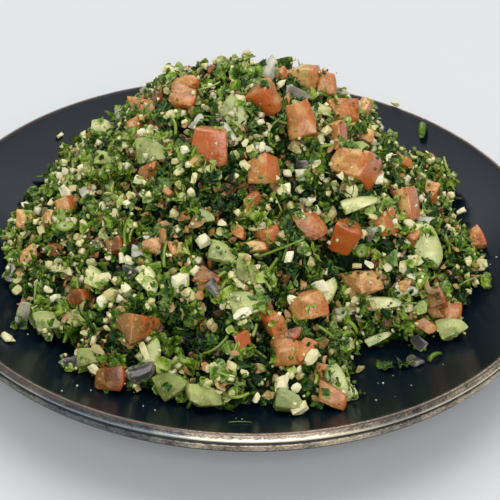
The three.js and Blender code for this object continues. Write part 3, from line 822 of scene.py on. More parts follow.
SLICE_SPOTS = spot_rows(
    (65, 226, 5.5, 4, 0, 0.8), (76, 283, 3.2, 4.4, 20, 0.6), (229, 298, 3.6, 3.4, 0, 0.9),
    (420, 276, 3.6, 3.2, 0, 0.7), (486, 276, 3.4, 3, 0, 0.4),
)

# Scraps on the bare plate: bearing in degrees, radius and half sizes in millimetres, tone, turn from the
# rim's direction and whether the shape's z lies along the plate, square to that turn.
Scrap = namedtuple("Scrap", "bearing radius half tone turn lying", defaults=(0, False))
SLICE_SCRAPS = (Scrap(44, 102, (1.7, 1.7, 7.0), 0.1, 46, True), Scrap(-176, 96, (2.4, 2.4, 2.0), 0.6))
GRAIN_SCRAPS = (
    Scrap(54.3, 108.6, (2.2, 1.7, 1.7), 0.8), Scrap(-143, 96, (1.3, 1.1, 1.0), 0.4),
    Scrap(142, 98, (1.7, 1.3, 1.2), 0.6), Scrap(100, 98, (1.5, 1.2, 1.1), 0.6),
    Scrap(-58, 75.5, (1.9, 1.2, 1.1), 0.1), Scrap(-137, 97, (2.4, 1.9, 1.2), 0.6),
)
ONION_SCRAPS = (Scrap(-47.8, 84.5, (3.4, 2.2, 0.6), 0.05, 60),)
STEM_SCRAPS = (Scrap(-44.6, 88.4, (2.6, 0.9, 0.7), 0.0), Scrap(-88.6, 98.3, (3.4, 0.22, 0.12), 0.2))
LEAF_SCRAPS = (
    Scrap(-53.5, 80, (4.8, 4.8, 4.8), 0.25), Scrap(-64.6, 89.4, (2.1, 2.1, 2.1), 0.2),
    Scrap(-50.5, 83.5, (4.4, 4.4, 4.4), 0.2),
)

# Droplets on the bare plate, as places in the camera's view. Their pale colour is a painted glint.
DROPLET_SPOTS = (
    (443, 365), (411, 386), (77, 387), (91, 391), (11, 328), (28, 335), (155, 411), (134, 393), (143, 407),
    (378, 384), (383, 384), (236, 419), (242, 420), (393, 376), (395, 397), (376, 401), (485, 255),
    (496, 258), (490, 265), (62, 392),
)

# Diced pieces strewn where the camera doesn't look: how many, their least and most length in millimetres,
# and their width and depth as shares of it.
Hidden = namedtuple("Hidden", "count length shares")
HIDDEN_DICE = {
    "tomato": Hidden(44, (6, 13), (0.85, 0.75)),
    "cucumber": Hidden(30, (6, 13), (0.85, 0.5)),
    "onion": Hidden(40, (5, 11), (0.55, 0.14)),
}
HIDDEN_DEPTH = -3.5 * MM, -0.5 * MM  # how far out of the heap's skin they lie
HIDDEN_TIP = 0.5
HIDDEN_DRAWS = 3  # places drawn for each one that is wanted
TURNED_AWAY = -0.3  # cosine between the heap's normal and the way to the camera from which nothing is seen
CROWDING = 0.8  # how near two diced pieces may be, as a share of their half sizes together

# A tone is the darkest plus the span times a power of chance.
Tone = namedtuple("Tone", "darkest span power", defaults=(1,))

# Loose things: how many, how far out of the heap's skin they lie and how wide they are, at least and at most,
# in millimetres, how much they are tipped, their tone, the share of them that stays over larger pieces and
# the palest tone. The widths of grains and leaves are shares of a setting.
Strewn = namedtuple("Strewn", "count low high smallest largest tip tone keep palest", defaults=(0.08, 0.9))
LOOSE_GRAINS = Strewn(230, -2.0, 1.5, 0.6, 1.2, 0.8, Tone(0, 1), 0.3)
LOOSE_STEMS = Strewn(210, -1.5, 1.5, 5, 11, 0.4, Tone(0, 1), 0.2)
LOOSE_SLICES = Strewn(3, -0.5, 1.6, 3.4, 5.4, 0.6, Tone(0, 1), 0.2)
LEAVES = Strewn(260, -2.0, 0.8, 0.55, 1, 0.4, Tone(0.08, 0.38), palest=0.5)
CURLS = Strewn(1550, -3.0, 1.0, 4.0, 8.5, 0.5, Tone(0.1, 0.45), palest=0.7)
DARK_BITS = Strewn(3000, -7.0, 0.0, 4.5, 9.5, 0.5, Tone(0.1, 0.38, 1.5))
BRIGHT_BITS = Strewn(2300, -3.5, 1.2, 2.5, 6.5, 0.7, Tone(0.26, 0.64, 1.6))
SHARDS = Strewn(1700, -3.5, 0.6, 4.0, 9.0, 0.5, Tone(0, 0.95), 0.15)
MINCE = Strewn(2300, -2.5, 1.3, 2.5, 5.5, 0.6, Tone(0, 0.9), 0.2)
CRUMBS = Strewn(1300, -0.5, 1.4, 0.9, 2.6, 1.0, Tone(0, 1, 1.5), 0.3)
STEM_THICKNESS = 0.3, 0.65  # half of it, at least and at most, in millimetres
MINCE_SIDES = 0.5, 1.0  # each side of a scrap, at least and at most, as a share of its width
SPARE_LOOSE = 1.45  # things laid for each one that is wanted, because some would cover a larger piece

# Scraps stuck to each diced piece: how many, how wide at least and at most, in millimetres, and their tone.
Stuck = namedtuple("Stuck", "each smallest largest tone")
STUCK_PARSLEY = Stuck(5, 1.6, 5.0, Tone(0.15, 0.65))
STUCK_CRUMBS = Stuck(10, 0.5, 1.6, Tone(0, 0.9, 1.5))
STUCK_REACH = 0.93  # how far from a piece's middle they lie, as a share of the way to its side
STUCK_SQUARENESS = 8  # power of the superellipsoid that stands in for the piece
STUCK_OPENNESS = 0.2  # least sum of the cosines of an open side's turn from the heap's normal and the camera
STUCK_TIP = 0.25

# What a loose bit in front of a larger piece is: further out than the first, up to the second, and nearer its
# middle line than the third and the fourth together.
FRONT_START = -0.35  # as a share of the piece's half width
FRONT_END = 22 * MM
FRONT_WIDTH = 0.5  # as a share of the piece's half width
FRONT_OVERLAP = 0.12  # as a share of the bit's half width

DROPLET_SIZE = 0.3, 0.8  # at least and at most, in millimetres
DROPLET_FLATNESS = 0.4
DROPLET_TIP = 0.05


def drawn_tones(tone, count, rng):
    """Random tones, as a Tone says."""
    return tone.darkest + tone.span * rng.random(count) ** tone.power


CAMERA_PULL = 0.65  # how much of a named piece's facing is the way to the camera
SKIN_TIP = 0.45  # how much a piece with its skin out is tipped down


def spots_batch(spots, rng, depth_share, proud, lean=0.17):
    """Pieces at places in the camera's view: x along the turn, z between the camera and the heap's normal.

    `depth_share` is the depth as a share of the shorter side, `proud` how far out of the heap the middle lies
    as a share of the length and `lean` how much a piece is tipped at random. Where skin shows, the axes are
    rolled on, so that x, the side of the skin, faces out.
    """
    across, down, long, wide, turn, tone, skin = np.array(spots, float).T
    place = seen_places(across, down, proud * long * MM)
    to_camera = unit(CAMERA_PLACE - place)
    right, up, _ = camera_axes()
    turn = np.radians(turn)[:, None]
    normal = heap_normal(place[:, 0], place[:, 1])
    skin_out = skin > 0
    facing = CAMERA_PULL * to_camera + (1 - CAMERA_PULL) * normal + lean * rng.normal(size=place.shape)
    axes = axes_facing(facing - SKIN_TIP * skin_out[:, None] * up, np.cos(turn) * right + np.sin(turn) * up)
    sizes = np.stack([long, wide, depth_share * np.minimum(long, wide)], axis=1) * MM / 2
    axes[skin_out] = np.roll(axes[skin_out], 1, axis=2)
    sizes[skin_out] = np.roll(sizes[skin_out], 1, axis=1)
    return Batch(place, axes, sizes, tone)


SCRAP_HEIGHT = 0.8  # how far a scrap's middle lies above the lip, as a share of its least half size
SCRAP_SWAY = 0.15


def scraps_batch(scraps, rng):
    """Pieces that lie on the bare plate at a bearing and a radius, or on its lip."""
    bearing = np.radians([scrap.bearing for scrap in scraps])
    radius = np.array([scrap.radius for scrap in scraps]) * MM
    half = np.array([scrap.half for scrap in scraps]) * MM
    on_lip = LIP_HEIGHT + SCRAP_HEIGHT * half.min(axis=1)
    height = np.where(radius > WALL_TOP_RADIUS, on_lip, plate_height(radius))
    slope = (plate_height(radius + MM) - plate_height(radius - MM)) / (2 * MM)
    place = np.stack([radius * np.cos(bearing), radius * np.sin(bearing), height], axis=1)
    up = np.stack([-slope * np.cos(bearing), -slope * np.sin(bearing), 1 + 0 * slope], axis=1)
    way = bearing + np.radians([scrap.turn for scrap in scraps])
    along = np.stack([-np.sin(way), np.cos(way), 0 * way], axis=1) + SCRAP_SWAY * rng.normal(size=place.shape)
    axes = axes_facing(up, along)
    lying = np.array([scrap.lying for scrap in scraps])
    axes[lying] = np.roll(axes[lying], 1, axis=2)
    return Batch(place, axes, half, np.array([scrap.tone for scrap in scraps]))


def droplets_batch(rng):
    """Flat droplets where lines of sight first meet the bare plate, at the palest tone, which is a painted
    glint.
    """
    points = sight_points(*np.array(DROPLET_SPOTS, float).T)
    first = (points[..., 2] < plate_height(np.hypot(points[..., 0], points[..., 1]))).argmax(axis=1)
    place = points[np.arange(len(first)), first]
    half = rng.uniform(*DROPLET_SIZE, (len(place), 1)) * MM / 2 * (1, 1, DROPLET_FLATNESS)
    up = np.tile((0.0, 0.0, 1.0), (len(place), 1))
    return Batch(place, tipped_axes(up, rng, DROPLET_TIP), half, np.ones(len(place)))


class Taken:
    """Places that hold a large piece, so that no other is put inside it."""

    def __init__(self):
        self.places, self.halves = np.empty((0, 3)), np.empty(0)

    def add(self, places, halves):
        """Take up these places."""
        self.places = np.vstack([self.places, places])
        self.halves = np.append(self.halves, halves)

    def free(self, place, half):
        """Whether a piece of this half size fits here."""
        away = np.linalg.norm(self.places - place, axis=1)
        return bool((away > CROWDING * (self.halves + half)).all())


def hidden_batch(hidden, rng, taken):
    """Diced pieces with room between them where the camera doesn't look."""
    place, normal, _ = scattered_places(HIDDEN_DRAWS * hidden.count, rng, *HIDDEN_DEPTH)
    half = rng.uniform(*hidden.length, len(place)) * MM / 2
    seen = (normal * unit(CAMERA_PLACE - place)).sum(axis=1) > TURNED_AWAY
    kept = []
    for k in np.flatnonzero(~seen):
        if len(kept) < hidden.count and taken.free(place[k], half[k]):
            taken.add(place[k], half[k])
            kept.append(k)
    sizes = half[kept, None] * np.array([1.0, *hidden.shares])
    return Batch(place[kept], tipped_axes(normal[kept], rng, HIDDEN_TIP), sizes, rng.random(len(kept)))


@lru_cache(maxsize=None)
def layout():
    """All the dice, strips, grains, stems and slices by kind, and how many of each are named ones."""
    rng = draws("layout")
    # The small grains differ in length, turn and tone by their place in the list.
    grain_spots = [Spot(across, down, 3.2 + 0.4 * (k % 3), 3.2, 40 * k, 0.45 + 0.08 * (k % 6))
                   for k, (across, down) in enumerate(GRAIN_SPOTS)]
    kinds = {
        "tomato": spots_batch(TOMATO_SPOTS, rng, depth_share=0.9, proud=0, lean=0.35),
        "cucumber": spots_batch(CUCUMBER_SPOTS, rng, depth_share=0.6, proud=0.05),
        "onion": spots_batch(ONION_SPOTS, rng, depth_share=0.2, proud=0.15),
        "grain": spots_batch((*grain_spots, *LARGE_GRAIN_SPOTS), rng, depth_share=0.9, proud=0.45),
        "stem": spots_batch(STEM_SPOTS, rng, depth_share=1, proud=0.3),
        "slice": spots_batch(SLICE_SPOTS, rng, depth_share=0.7, proud=0.5),
    }
    named = {kind: len(batch.places) for kind, batch in kinds.items()}
    taken = Taken()
    for kind in HIDDEN_DICE:
        taken.add(kinds[kind].places, kinds[kind].sizes[:, :2].max(axis=1))
    for kind, hidden in HIDDEN_DICE.items():
        kinds[kind] = kinds[kind].plus(hidden_batch(hidden, rng, taken))
    return kinds, named


@lru_cache(maxsize=None)
def showing():
    """Middle, half width and open side of each piece that loose herbs must leave in sight.

    A named piece is open towards the camera, any other straight out of the heap.
    """
    kinds, named = layout()
    middles, halves, opens = [], [], []
    for kind, batch in kinds.items():
        shown = np.arange(len(batch.places)) < named[kind]
        to_camera = unit(CAMERA_PLACE - batch.places)
        normal = heap_normal(batch.places[:, 0], batch.places[:, 1])
        middles.append(batch.places)
        halves.append(batch.sizes[:, :2].mean(axis=1))
        opens.append(np.where(shown[:, None], to_camera, normal))
    return np.concatenate(middles), np.concatenate(halves), np.concatenate(opens)


def uncovering(places, reach, rng, keep):
    """Which loose bits lie in front of no larger piece, and the share of the others that stays anyway."""
    covered = np.zeros(len(places), bool)
    for middle, half, towards in zip(*showing()):
        offset = places - middle
        forward = offset @ towards
        aside = np.linalg.norm(offset - forward[:, None] * towards, axis=1)
        before = (forward > FRONT_START * half) & (forward < FRONT_END)
        covered |= before & (aside < FRONT_WIDTH * half + FRONT_OVERLAP * reach)
    return ~covered | (rng.random(len(places)) < keep)


def loose_batch(strewn, rng, width=1):
    """Small things strewn over the heap, with the larger pieces left in sight. `width` scales them."""
    drawn = int(SPARE_LOOSE * strewn.count)
    place, normal, lighter = scattered_places(drawn, rng, strewn.low * MM, strewn.high * MM)
    half = rng.uniform(strewn.smallest * width, strewn.largest * width, len(place)) * MM / 2
    kept = np.flatnonzero(uncovering(place, half, rng, strewn.keep))[:strewn.count]
    axes = tipped_axes(normal[kept], rng, strewn.tip)
    # The tone is random, plus painted light on clumps and painted shade in pits and deeper down.
    tones = np.clip(drawn_tones(strewn.tone, len(kept), rng) + lighter[kept], 0, strewn.palest)
    return Batch(place[kept], axes, half[kept, None] * np.ones(3), tones)


def stuck_batch(stuck, rng):
    """Scraps stuck flat to the open sides of the diced pieces: points on a squarish superellipsoid."""
    tomato, cucumber, onion = (layout()[0][kind] for kind in HIDDEN_DICE)
    diced = tomato.plus(cucumber).plus(onion)
    pick = np.repeat(np.arange(len(diced.places)), stuck.each)
    way = rng.normal(size=(len(pick), 3))
    out = unit(np.einsum("nij,nj->ni", diced.axes[pick], way / diced.sizes[pick]))
    normal = heap_normal(diced.places[pick, 0], diced.places[pick, 1])
    openness = (out * (normal + unit(CAMERA_PLACE - diced.places[pick]))).sum(axis=1)
    onto = STUCK_REACH * softened(way, STUCK_SQUARENESS) * diced.sizes[pick]
    place = diced.places[pick] + np.einsum("nij,nj->ni", diced.axes[pick], onto)
    half = rng.uniform(stuck.smallest, stuck.largest, len(pick)) * MM / 2
    axes, tones = tipped_axes(out, rng, STUCK_TIP), drawn_tones(stuck.tone, len(pick), rng)
    return Batch(place, axes, half[:, None] * np.ones(3), tones).only(openness >= STUCK_OPENNESS)


# ---------------------------------------------------------------- finishes


class Value:
    """A node's output. Arithmetic on it adds Math nodes to its finish."""

    def __init__(self, finish, socket):
        self.finish, self.socket = finish, socket

    def maths(self, operation, *values):
        """The result of a Math node."""
        return self.finish.node("ShaderNodeMath", {"operation": operation}, dict(enumerate(values)))["Value"]

    def __add__(self, other):
        return self.maths("ADD", self, other)

    __radd__ = __add__

    def __sub__(self, other):
        return self.maths("SUBTRACT", self, other)

    def __rsub__(self, other):
        return self.maths("SUBTRACT", other, self)

    def __mul__(self, other):
        return self.maths("MULTIPLY", self, other)

    __rmul__ = __mul__

    def __truediv__(self, other):
        return self.maths("DIVIDE", self, other)

    def __pow__(self, other):
        return self.maths("POWER", self, other)

    def sine(self):
        """The sine of the value, in radians."""
        return self.maths("SINE", self)

    def clamped(self):
        """The value kept between 0 and 1."""
        return self.maths("MINIMUM", self.maths("MAXIMUM", self, 0), 1)


class Finish:
    """A material in the making: one shader and the nodes that feed it."""

    def __init__(self, name, **constants):
        self.material = bpy.data.materials.new(name)
        self.material.use_nodes = True
        self.tree = self.material.node_tree
        self.shader = self.tree.nodes["Principled BSDF"]
        self.shade(**constants)

    def node(self, kind, settings, values):
        """The outputs of a new node, whose settings are made first and then its sockets set or linked."""
        node = self.tree.nodes.new(kind)
        for setting, value in settings.items():
            if setting == "stops":
                self.set_stops(node.color_ramp, value)
            else:
                setattr(node, setting, value)
        for socket, value in values.items():
            self.feed(node.inputs[socket], value)
        return {output.name: Value(self, output) for output in node.outputs if output.enabled}

    def feed(self, socket, value):
        """Link a value to a socket, or set the socket."""
        if isinstance(value, Value):
            self.tree.links.new(value.socket, socket)
        elif socket.type == "RGBA":
            socket.default_value = (*value, 1)
        else:
            socket.default_value = value

    def set_stops(self, ramp, stops):
        """Give a colour ramp its stops, each a place and a colour."""
        while len(ramp.elements) < len(stops):
            ramp.elements.new(0.5)
        for element, (place, colour) in zip(ramp.elements, stops):
            element.position = place
            element.color = (*colour, 1)

    def shade(self, **values):
        """Set or link sockets of the shader, whose names are given with _ for each space."""
        for name, value in values.items():
            self.feed(self.shader.inputs[name.replace("_", " ")], value)

    def place(self):
        """The point's own place on the object, in metres."""
        return self.node("ShaderNodeTexCoord", {}, {})["Object"]

    def mark(self, name, output="Fac"):
        """A number, or a vector, kept at each point."""
        settings = {"attribute_type": "GEOMETRY", "attribute_name": name}
        return self.node("ShaderNodeAttribute", settings, {})[output]

    def apart(self, vector):
        """The three parts of a vector, by name."""
        return self.node("ShaderNodeSeparateXYZ", {}, {"Vector": vector})

    def noise(self, size, detail=2.0, roughness=0.55, place=None):
        """Soft random patches of the given size, about 0.5."""
        values = {"Vector": place or self.place(), "Scale": 1 / size, "Detail": detail}
        return self.node("ShaderNodeTexNoise", {}, {**values, "Roughness": roughness})["Fac"]

    def step(self, value, low, high):
        """0 below `low`, 1 above `high` and smooth between."""
        values = {"Value": value, "From Min": low, "From Max": high}
        return self.node("ShaderNodeMapRange", {"interpolation_type": "SMOOTHSTEP"}, values)["Result"]

    def patches(self, size, low, high, detail=2.0, roughness=0.55):
        """Random patches of the given size: 0 where noise is below `low` and 1 where it is above `high`."""
        return self.step(self.noise(size, detail, roughness), low, high)

    def ramp(self, value, *stops):
        """A colour for each value."""
        return self.node("ShaderNodeValToRGB", {"stops": stops}, {"Fac": value})["Color"]

    def blend(self, factor, first, second, mode="MIX"):
        """Two colours mixed."""
        settings = {"data_type": "RGBA", "blend_type": mode}
        return self.node("ShaderNodeMix", settings, {0: factor, 6: first, 7: second})["Result"]

    def bump(self, height, strength, distance):
        """Small relief, in metres at a height of 1."""
        values = {"Height": height, "Strength": strength, "Distance": distance}
        self.shade(Normal=self.node("ShaderNodeBump", {}, values)["Normal"])


def translucent(name, weight, *depths, **constants):
    """A finish that red, green and blue light enter to the given depths in millimetres."""
    radius = tuple(depth * MM for depth in depths)
    return Finish(name, Subsurface_Weight=weight, Subsurface_Radius=radius, Subsurface_Scale=1.0, **constants)


# Where the finishes of the plate's edge fade in, as distances inside its edge and as heights.
SHEEN_RING = -2.8 * MM, -2.4 * MM
LIP_RING = -2.0 * MM, -1.8 * MM
OUTSIDE_RING = -1.6 * MM, -1.3 * MM
BAND_BOTTOM = 19.6 * MM, 19.8 * MM
BAND_TOP = 21.6 * MM, 21.4 * MM
LIP_BOTTOM = 22.3 * MM, 22.5 * MM
LIP_HIGHLIGHT_HEIGHTS = 23.7 * MM, 23.3 * MM
COPPER_LINE = 24.3 * MM, 24.5 * MM
COPPER_STRIPES = 11  # radians for each millimetre of height
# The metal's cool, dark look on the left and warm, light look on the right is a painted reflection.
PLATE_LEFT = -20 * MM, -80 * MM  # where the edge dips and its metal turns cool
REFLECTION_SIDES = -70 * MM, 60 * MM


def plate_finish(colours):
    """Speckled dark glaze, a coppery line inside the lip, a silver lip and a mottled band round the edge. A
    paler ring inside the lip is painted sheen, the lower lip carries a painted highlight, and the metal is
    painted darker and bluer on the left and lighter and warmer on the right as reflection.
    """
    finish = Finish("plate_glaze", Specular_IOR_Level=0.12)
    place = finish.apart(finish.place())
    radius = (place["X"] ** 2 + place["Y"] ** 2) ** 0.5
    height = place["Z"]
    from_edge = radius - PLATE_RADIUS
    left = finish.step(place["X"], *PLATE_LEFT)
    lip = finish.step(from_edge, *LIP_RING) * finish.step(height, *LIP_BOTTOM)
    uneven = height + 0.9 * MM * left + 0.5 * MM * (finish.noise(9 * MM) - 0.5)
    line = lip * finish.step(uneven, *COPPER_LINE)
    stripes = 0.7 + 0.3 * (height * (COPPER_STRIPES / MM)).sine()
    # Painted highlight: the lower lip, next to the groove, is painted towards a bright metal colour as a
    # streak of reflected light.
    shine = finish.step(height, *LIP_HIGHLIGHT_HEIGHTS)
    outside = finish.step(radius, *(PLATE_RADIUS + ring for ring in OUTSIDE_RING))
    band = finish.step(height, *BAND_BOTTOM) * finish.step(height, *BAND_TOP) * outside
    speckle = finish.patches(0.45 * MM, 0.62, 0.75, 1.0)
    cloud = finish.noise(30 * MM, 3.0)
    glaze = finish.blend(speckle * 0.5, colours.glaze, colours.speckle)
    glaze = finish.blend(cloud * 0.35, glaze, colours.glaze_cloud)
    # Painted sheen: a paler grey ring on the glaze just inside the lip stands in for light it reflects.
    glaze = finish.blend(finish.step(from_edge, *SHEEN_RING), glaze, colours.painted_lip_sheen)
    streaks = {"X": place["X"], "Y": place["Y"], "Z": 3 * height}
    streaked = finish.node("ShaderNodeCombineXYZ", {}, streaks)["Vector"]
    grain = 0.55 * finish.noise(0.9 * MM, 2.0, 0.7, place=streaked) + 0.45 * finish.noise(9 * MM, 3.0, 0.7)
    mottle = finish.ramp(grain, (0.38, colours.band_dark), (0.48, colours.band_pewter),
                         (0.56, colours.band_gold), (0.66, colours.lip_metal_and_highlight))
    # Painted reflection: the metal is darkened and turned bluer on the left and lightened and warmed on the
    # right.
    side = finish.step(place["X"] + 0.4 * (cloud - 0.5), *REFLECTION_SIDES)
    mottle = finish.blend(1.0, mottle, finish.blend(side, colours.band_reflection_left, colours.band_reflection_right), "MULTIPLY")
    painted_lip_highlight = lip * shine * (0.3 + grain)
    mottle = finish.blend(painted_lip_highlight, mottle, finish.blend(side, colours.lip_highlight_left, colours.lip_metal_and_highlight))
    colour = finish.blend((lip + band).clamped(), glaze, mottle)
    colour = finish.blend(line * stripes, colour, colours.copper)
    metal = (lip + band) * (0.9 - 0.4 * line)
    rough = 0.16 + 0.12 * cloud + band * 0.12 + metal * 0.2 * grain
    finish.shade(Base_Color=colour, Metallic=metal, Roughness=rough)
    finish.bump(finish.noise(1.1 * MM, 2.0) + 3 * metal * grain, 0.15, 0.1 * MM)
    return finish.material


def herb_finish(name, colours, gloss=0.13):
    """Wet parsley: dark to yellow-green by tone, lighter on its veins, ridges and edges, and crinkled. The
    lighter ridges and the pale specks are painted light, and the blackest tone is painted shade.
    """
    finish = Finish(name, Specular_IOR_Level=0.27)
    own = finish.apart(finish.mark("own", "Vector"))
    aside = own["Y"].maths("ABSOLUTE", own["Y"])
    midrib = finish.step(aside, 0.1, 0.03)
    laterals = finish.step(((own["X"] + 0.8 * aside) * 13).sine(), 0.75, 1.0)
    veins = (midrib + 0.6 * laterals).clamped()
    patches = finish.patches(2.6 * MM, 0.36, 0.64, 4.0, 0.65)
    # Painted glints: small pale specks standing in for light caught on wet spots.
    painted_glints = finish.patches(0.6 * MM, 0.64, 0.74, 1.0)
    # Painted light: the high ridges of each crumpled bit are lighter.
    tone = finish.mark("tone") + 0.4 * (patches - 0.5) + 0.2 * (finish.mark("mark") ** 3) + 0.3 * own["Z"]
    tone = (tone + 0.1 * veins + 0.25 * painted_glints - 0.06).clamped()
    warm = finish.ramp(tone, (0.0, colours.herb_gap_shade), (0.25, colours.herb_dark), (0.5, colours.herb_green),
                       (0.78, colours.herb_bright), (1.0, colours.herb_pale))
    cool = finish.ramp(tone, (0.0, colours.herb_gap_shade), (0.3, colours.herb_deep), (0.6, colours.herb_cool),
                       (1.0, colours.herb_grey))
    colour = finish.blend(finish.patches(7 * MM, 0.48, 0.6, 3.0) * 0.8, warm, cool)
    finish.shade(Base_Color=colour, Roughness=gloss + 0.15 * patches)
    finish.bump(finish.noise(1.1 * MM, 3.0, 0.6) + 0.4 * veins, 1.0, 0.6 * MM)
    return finish.material


def tomato_finish(colours):
    """Tomato: deep skin, firm mottled flesh under it and wetter, seedier flesh inside."""
    finish = translucent("tomato_flesh", 0.2, 1.4, 0.6, 0.3, Coat_Roughness=0.1)
    skin = finish.mark("mark")
    own = finish.apart(finish.mark("own", "Vector"))
    patches = finish.patches(4 * MM, 0.34, 0.66, 4.0, 0.65)
    fibres = finish.noise(0.8 * MM, 3.0, 0.7)
    tone = (finish.mark("tone") + 0.6 * (patches - 0.5) + 0.5 * (fibres - 0.5)).clamped()
    # Painted shade: the brown end of the ramp darkens pieces lying in shadow.
    flesh = finish.ramp(tone, (0.0, colours.tomato_brown), (0.25, colours.tomato_red),
                        (0.55, colours.tomato_salmon), (0.8, colours.tomato_pale), (1.0, colours.tomato_gold))
    inner = finish.step(own["X"] + 1.2 * (patches - 0.5), 0.0, -0.5)
    seeds = finish.patches(1.4 * MM, 0.6, 0.68, 1.0)
    jelly = finish.blend(seeds, colours.tomato_jelly, colours.tomato_gold)
    flesh = finish.blend(inner * 0.6, flesh, jelly)
    specks = finish.patches(1.2 * MM, 0.67, 0.71)
    glow = finish.blend(patches, colours.tomato_skin, colours.tomato_red)
    colour = finish.blend(skin * 0.8, flesh, glow)
    colour = finish.blend(specks * 0.8, colour, colours.herb_dark)
    finish.shade(Base_Color=colour, Roughness=0.24 - 0.06 * skin - 0.14 * fibres, Coat_Weight=0.4 * skin)
    finish.bump(0.6 * fibres * (1 - 0.8 * skin) + 0.5 * specks + 0.5 * patches, 0.6, 0.5 * MM)
    return finish.material


def cucumber_finish(colours):
    """Cucumber: translucent seedy middle, paler flesh round it and darker green skin along the arc."""
    finish = translucent("cucumber_flesh", 0.3, 1.5, 1.8, 0.8)
    own = finish.apart(finish.mark("own", "Vector"))
    from_core = (((own["X"] + 0.9) ** 2 + (own["Y"] + 0.9) ** 2) ** 0.5) / 2
    patches = finish.noise(3.0 * MM, 3.0)
    middle = finish.step(from_core + 0.3 * (patches - 0.5), 0.62, 0.4)
    seeds = finish.patches(1.6 * MM, 0.58, 0.66, 1.0) * middle
    tone = (finish.mark("tone") + 0.8 * (patches - 0.5) - 0.3 * middle + 0.3 * seeds + 0.1).clamped()
    flesh = finish.ramp(tone, (0.0, colours.cucumber_deep), (0.5, colours.cucumber_green),
                        (1.0, colours.cucumber_pale))
    rind = finish.blend(finish.noise(1.6 * MM), colours.cucumber_skin, colours.cucumber_green)
    specks = finish.patches(1.5 * MM, 0.68, 0.72)
    colour = finish.blend(finish.mark("mark") * 0.8, flesh, rind)
    colour = finish.blend(specks * 0.8, colour, colours.herb_dark)
    finish.shade(Base_Color=colour, Roughness=0.24 - 0.16 * finish.noise(0.9 * MM))
    finish.bump(finish.noise(0.9 * MM, 3.0) + 0.5 * specks + 0.5 * patches, 0.6, 0.4 * MM)
    return finish.material


def onion_finish(colours):
    """Onion: translucent grey-lavender to white, lined along the strip, with a purple cut edge. The darkest
    grey is painted shade, and each strip is painted darker at one end and lighter at the other, standing in
    for light passing through it.
    """
    finish = translucent("onion_flesh", 0.4, 1.4, 1.2, 1.2)
    own = finish.apart(finish.mark("own", "Vector"))
    lines = 0.5 + 0.5 * (own["Y"] * 12 + 6 * finish.noise(3 * MM)).sine()
    tone = finish.mark("tone") + 0.9 * (finish.noise(3 * MM, 3.0) - 0.5)
    # Painted light and shade: a strip is darker at one end and lighter at the other.
    tone = (tone + 0.08 * lines + 0.25 * own["X"]).clamped()
    flesh = finish.ramp(tone, (0.0, colours.onion_shade), (0.45, colours.onion_lavender),
                        (1.0, colours.onion_white))
    colour = finish.blend(finish.mark("mark") * 0.35, flesh, colours.onion_edge)
    finish.shade(Base_Color=colour, Roughness=0.14)
    finish.bump(finish.noise(1.3 * MM, 2.0) + 0.1 * lines, 0.35, 0.4 * MM)
    return finish.material


def grain_finish(colours):
    """Soaked bulgur: cream to straw by tone, with soft darker patches."""
    finish = translucent("bulgur", 0.3, 1, 0.8, 0.4)
    tone = (finish.mark("tone") + 0.4 * (finish.noise(1.5 * MM, 2.0) - 0.5)).clamped()
    colour = finish.ramp(tone, (0.0, colours.bulgur_straw), (0.5, colours.bulgur_cream),
                         (1.0, colours.bulgur_white))
    finish.shade(Base_Color=colour, Roughness=0.3)
    finish.bump(finish.noise(0.9 * MM, 3.0), 0.9, 0.4 * MM)
    return finish.material


def stalk_finish(colours):
    """Cut stalks: bright green outside, paler inside."""
    finish = translucent("stalk_green", 0.3, 0.8, 1.2, 0.4)
    tone = (finish.mark("tone") + 0.3 * (finish.noise(1.5 * MM) - 0.5)).clamped()
    outer = finish.ramp(tone, (0.0, colours.herb_green), (0.5, colours.stalk_green),
                        (1.0, colours.stalk_pale))
    colour = finish.blend(finish.step(finish.mark("mark"), 0.75, 0.35) * 0.7, outer, colours.stalk_inside)
    finish.shade(Base_Color=colour, Roughness=0.25)
    return finish.material


def mince_finish(colours):
    """Minced vegetables soaked in juice: brown, olive, tan, cream and salmon by tone, and mottled. The brown
    end, reached deeper in the heap, is painted shade between the herbs.
    """
    finish = translucent("minced_vegetables", 0.25, 1.2, 0.9, 0.4)
    patches = finish.noise(1.8 * MM, 4.0, 0.65)
    tone = (finish.mark("tone") + 0.6 * (patches - 0.5)).clamped()
    colour = finish.ramp(tone, (0.0, colours.mince_brown), (0.14, colours.tomato_brown),
                         (0.26, colours.mince_olive), (0.38, colours.tomato_salmon),
                         (0.48, colours.mince_tan), (0.58, colours.tomato_pale), (0.68, colours.mince_olive),
                         (0.78, colours.cucumber_green), (0.9, colours.bulgur_cream),
                         (1.0, colours.onion_white))
    finish.shade(Base_Color=colour, Roughness=0.22)
    finish.bump(finish.noise(0.8 * MM, 3.0) + 0.8 * patches, 0.7, 0.5 * MM)
    return finish.material


def crumb_finish(colours):
    """Fine scraps of everything that was chopped."""
    finish = translucent("chopping_crumbs", 0.2, 0.6, 0.6, 0.3)
    colour = finish.ramp(finish.mark("tone"), (0.0, colours.herb_dark), (0.3, colours.herb_green),
                         (0.45, colours.stalk_green), (0.6, colours.cucumber_pale),
                         (0.8, colours.bulgur_cream), (1.0, colours.onion_white))
    finish.shade(Base_Color=colour, Roughness=0.22)
    return finish.material


# ---------------------------------------------------------------- settings


def colour_setting(name, description, default):
    """A colour that a user may change, in linear light."""
    return bpy.props.FloatVectorProperty(
        name=name, description=description, default=default, subtype="COLOR", size=3, min=0, max=1)


def length_setting(name, description, default):
    """A length that a user may change, in metres."""
    return bpy.props.FloatProperty(name=name, description=description, default=default, unit="LENGTH", min=0)


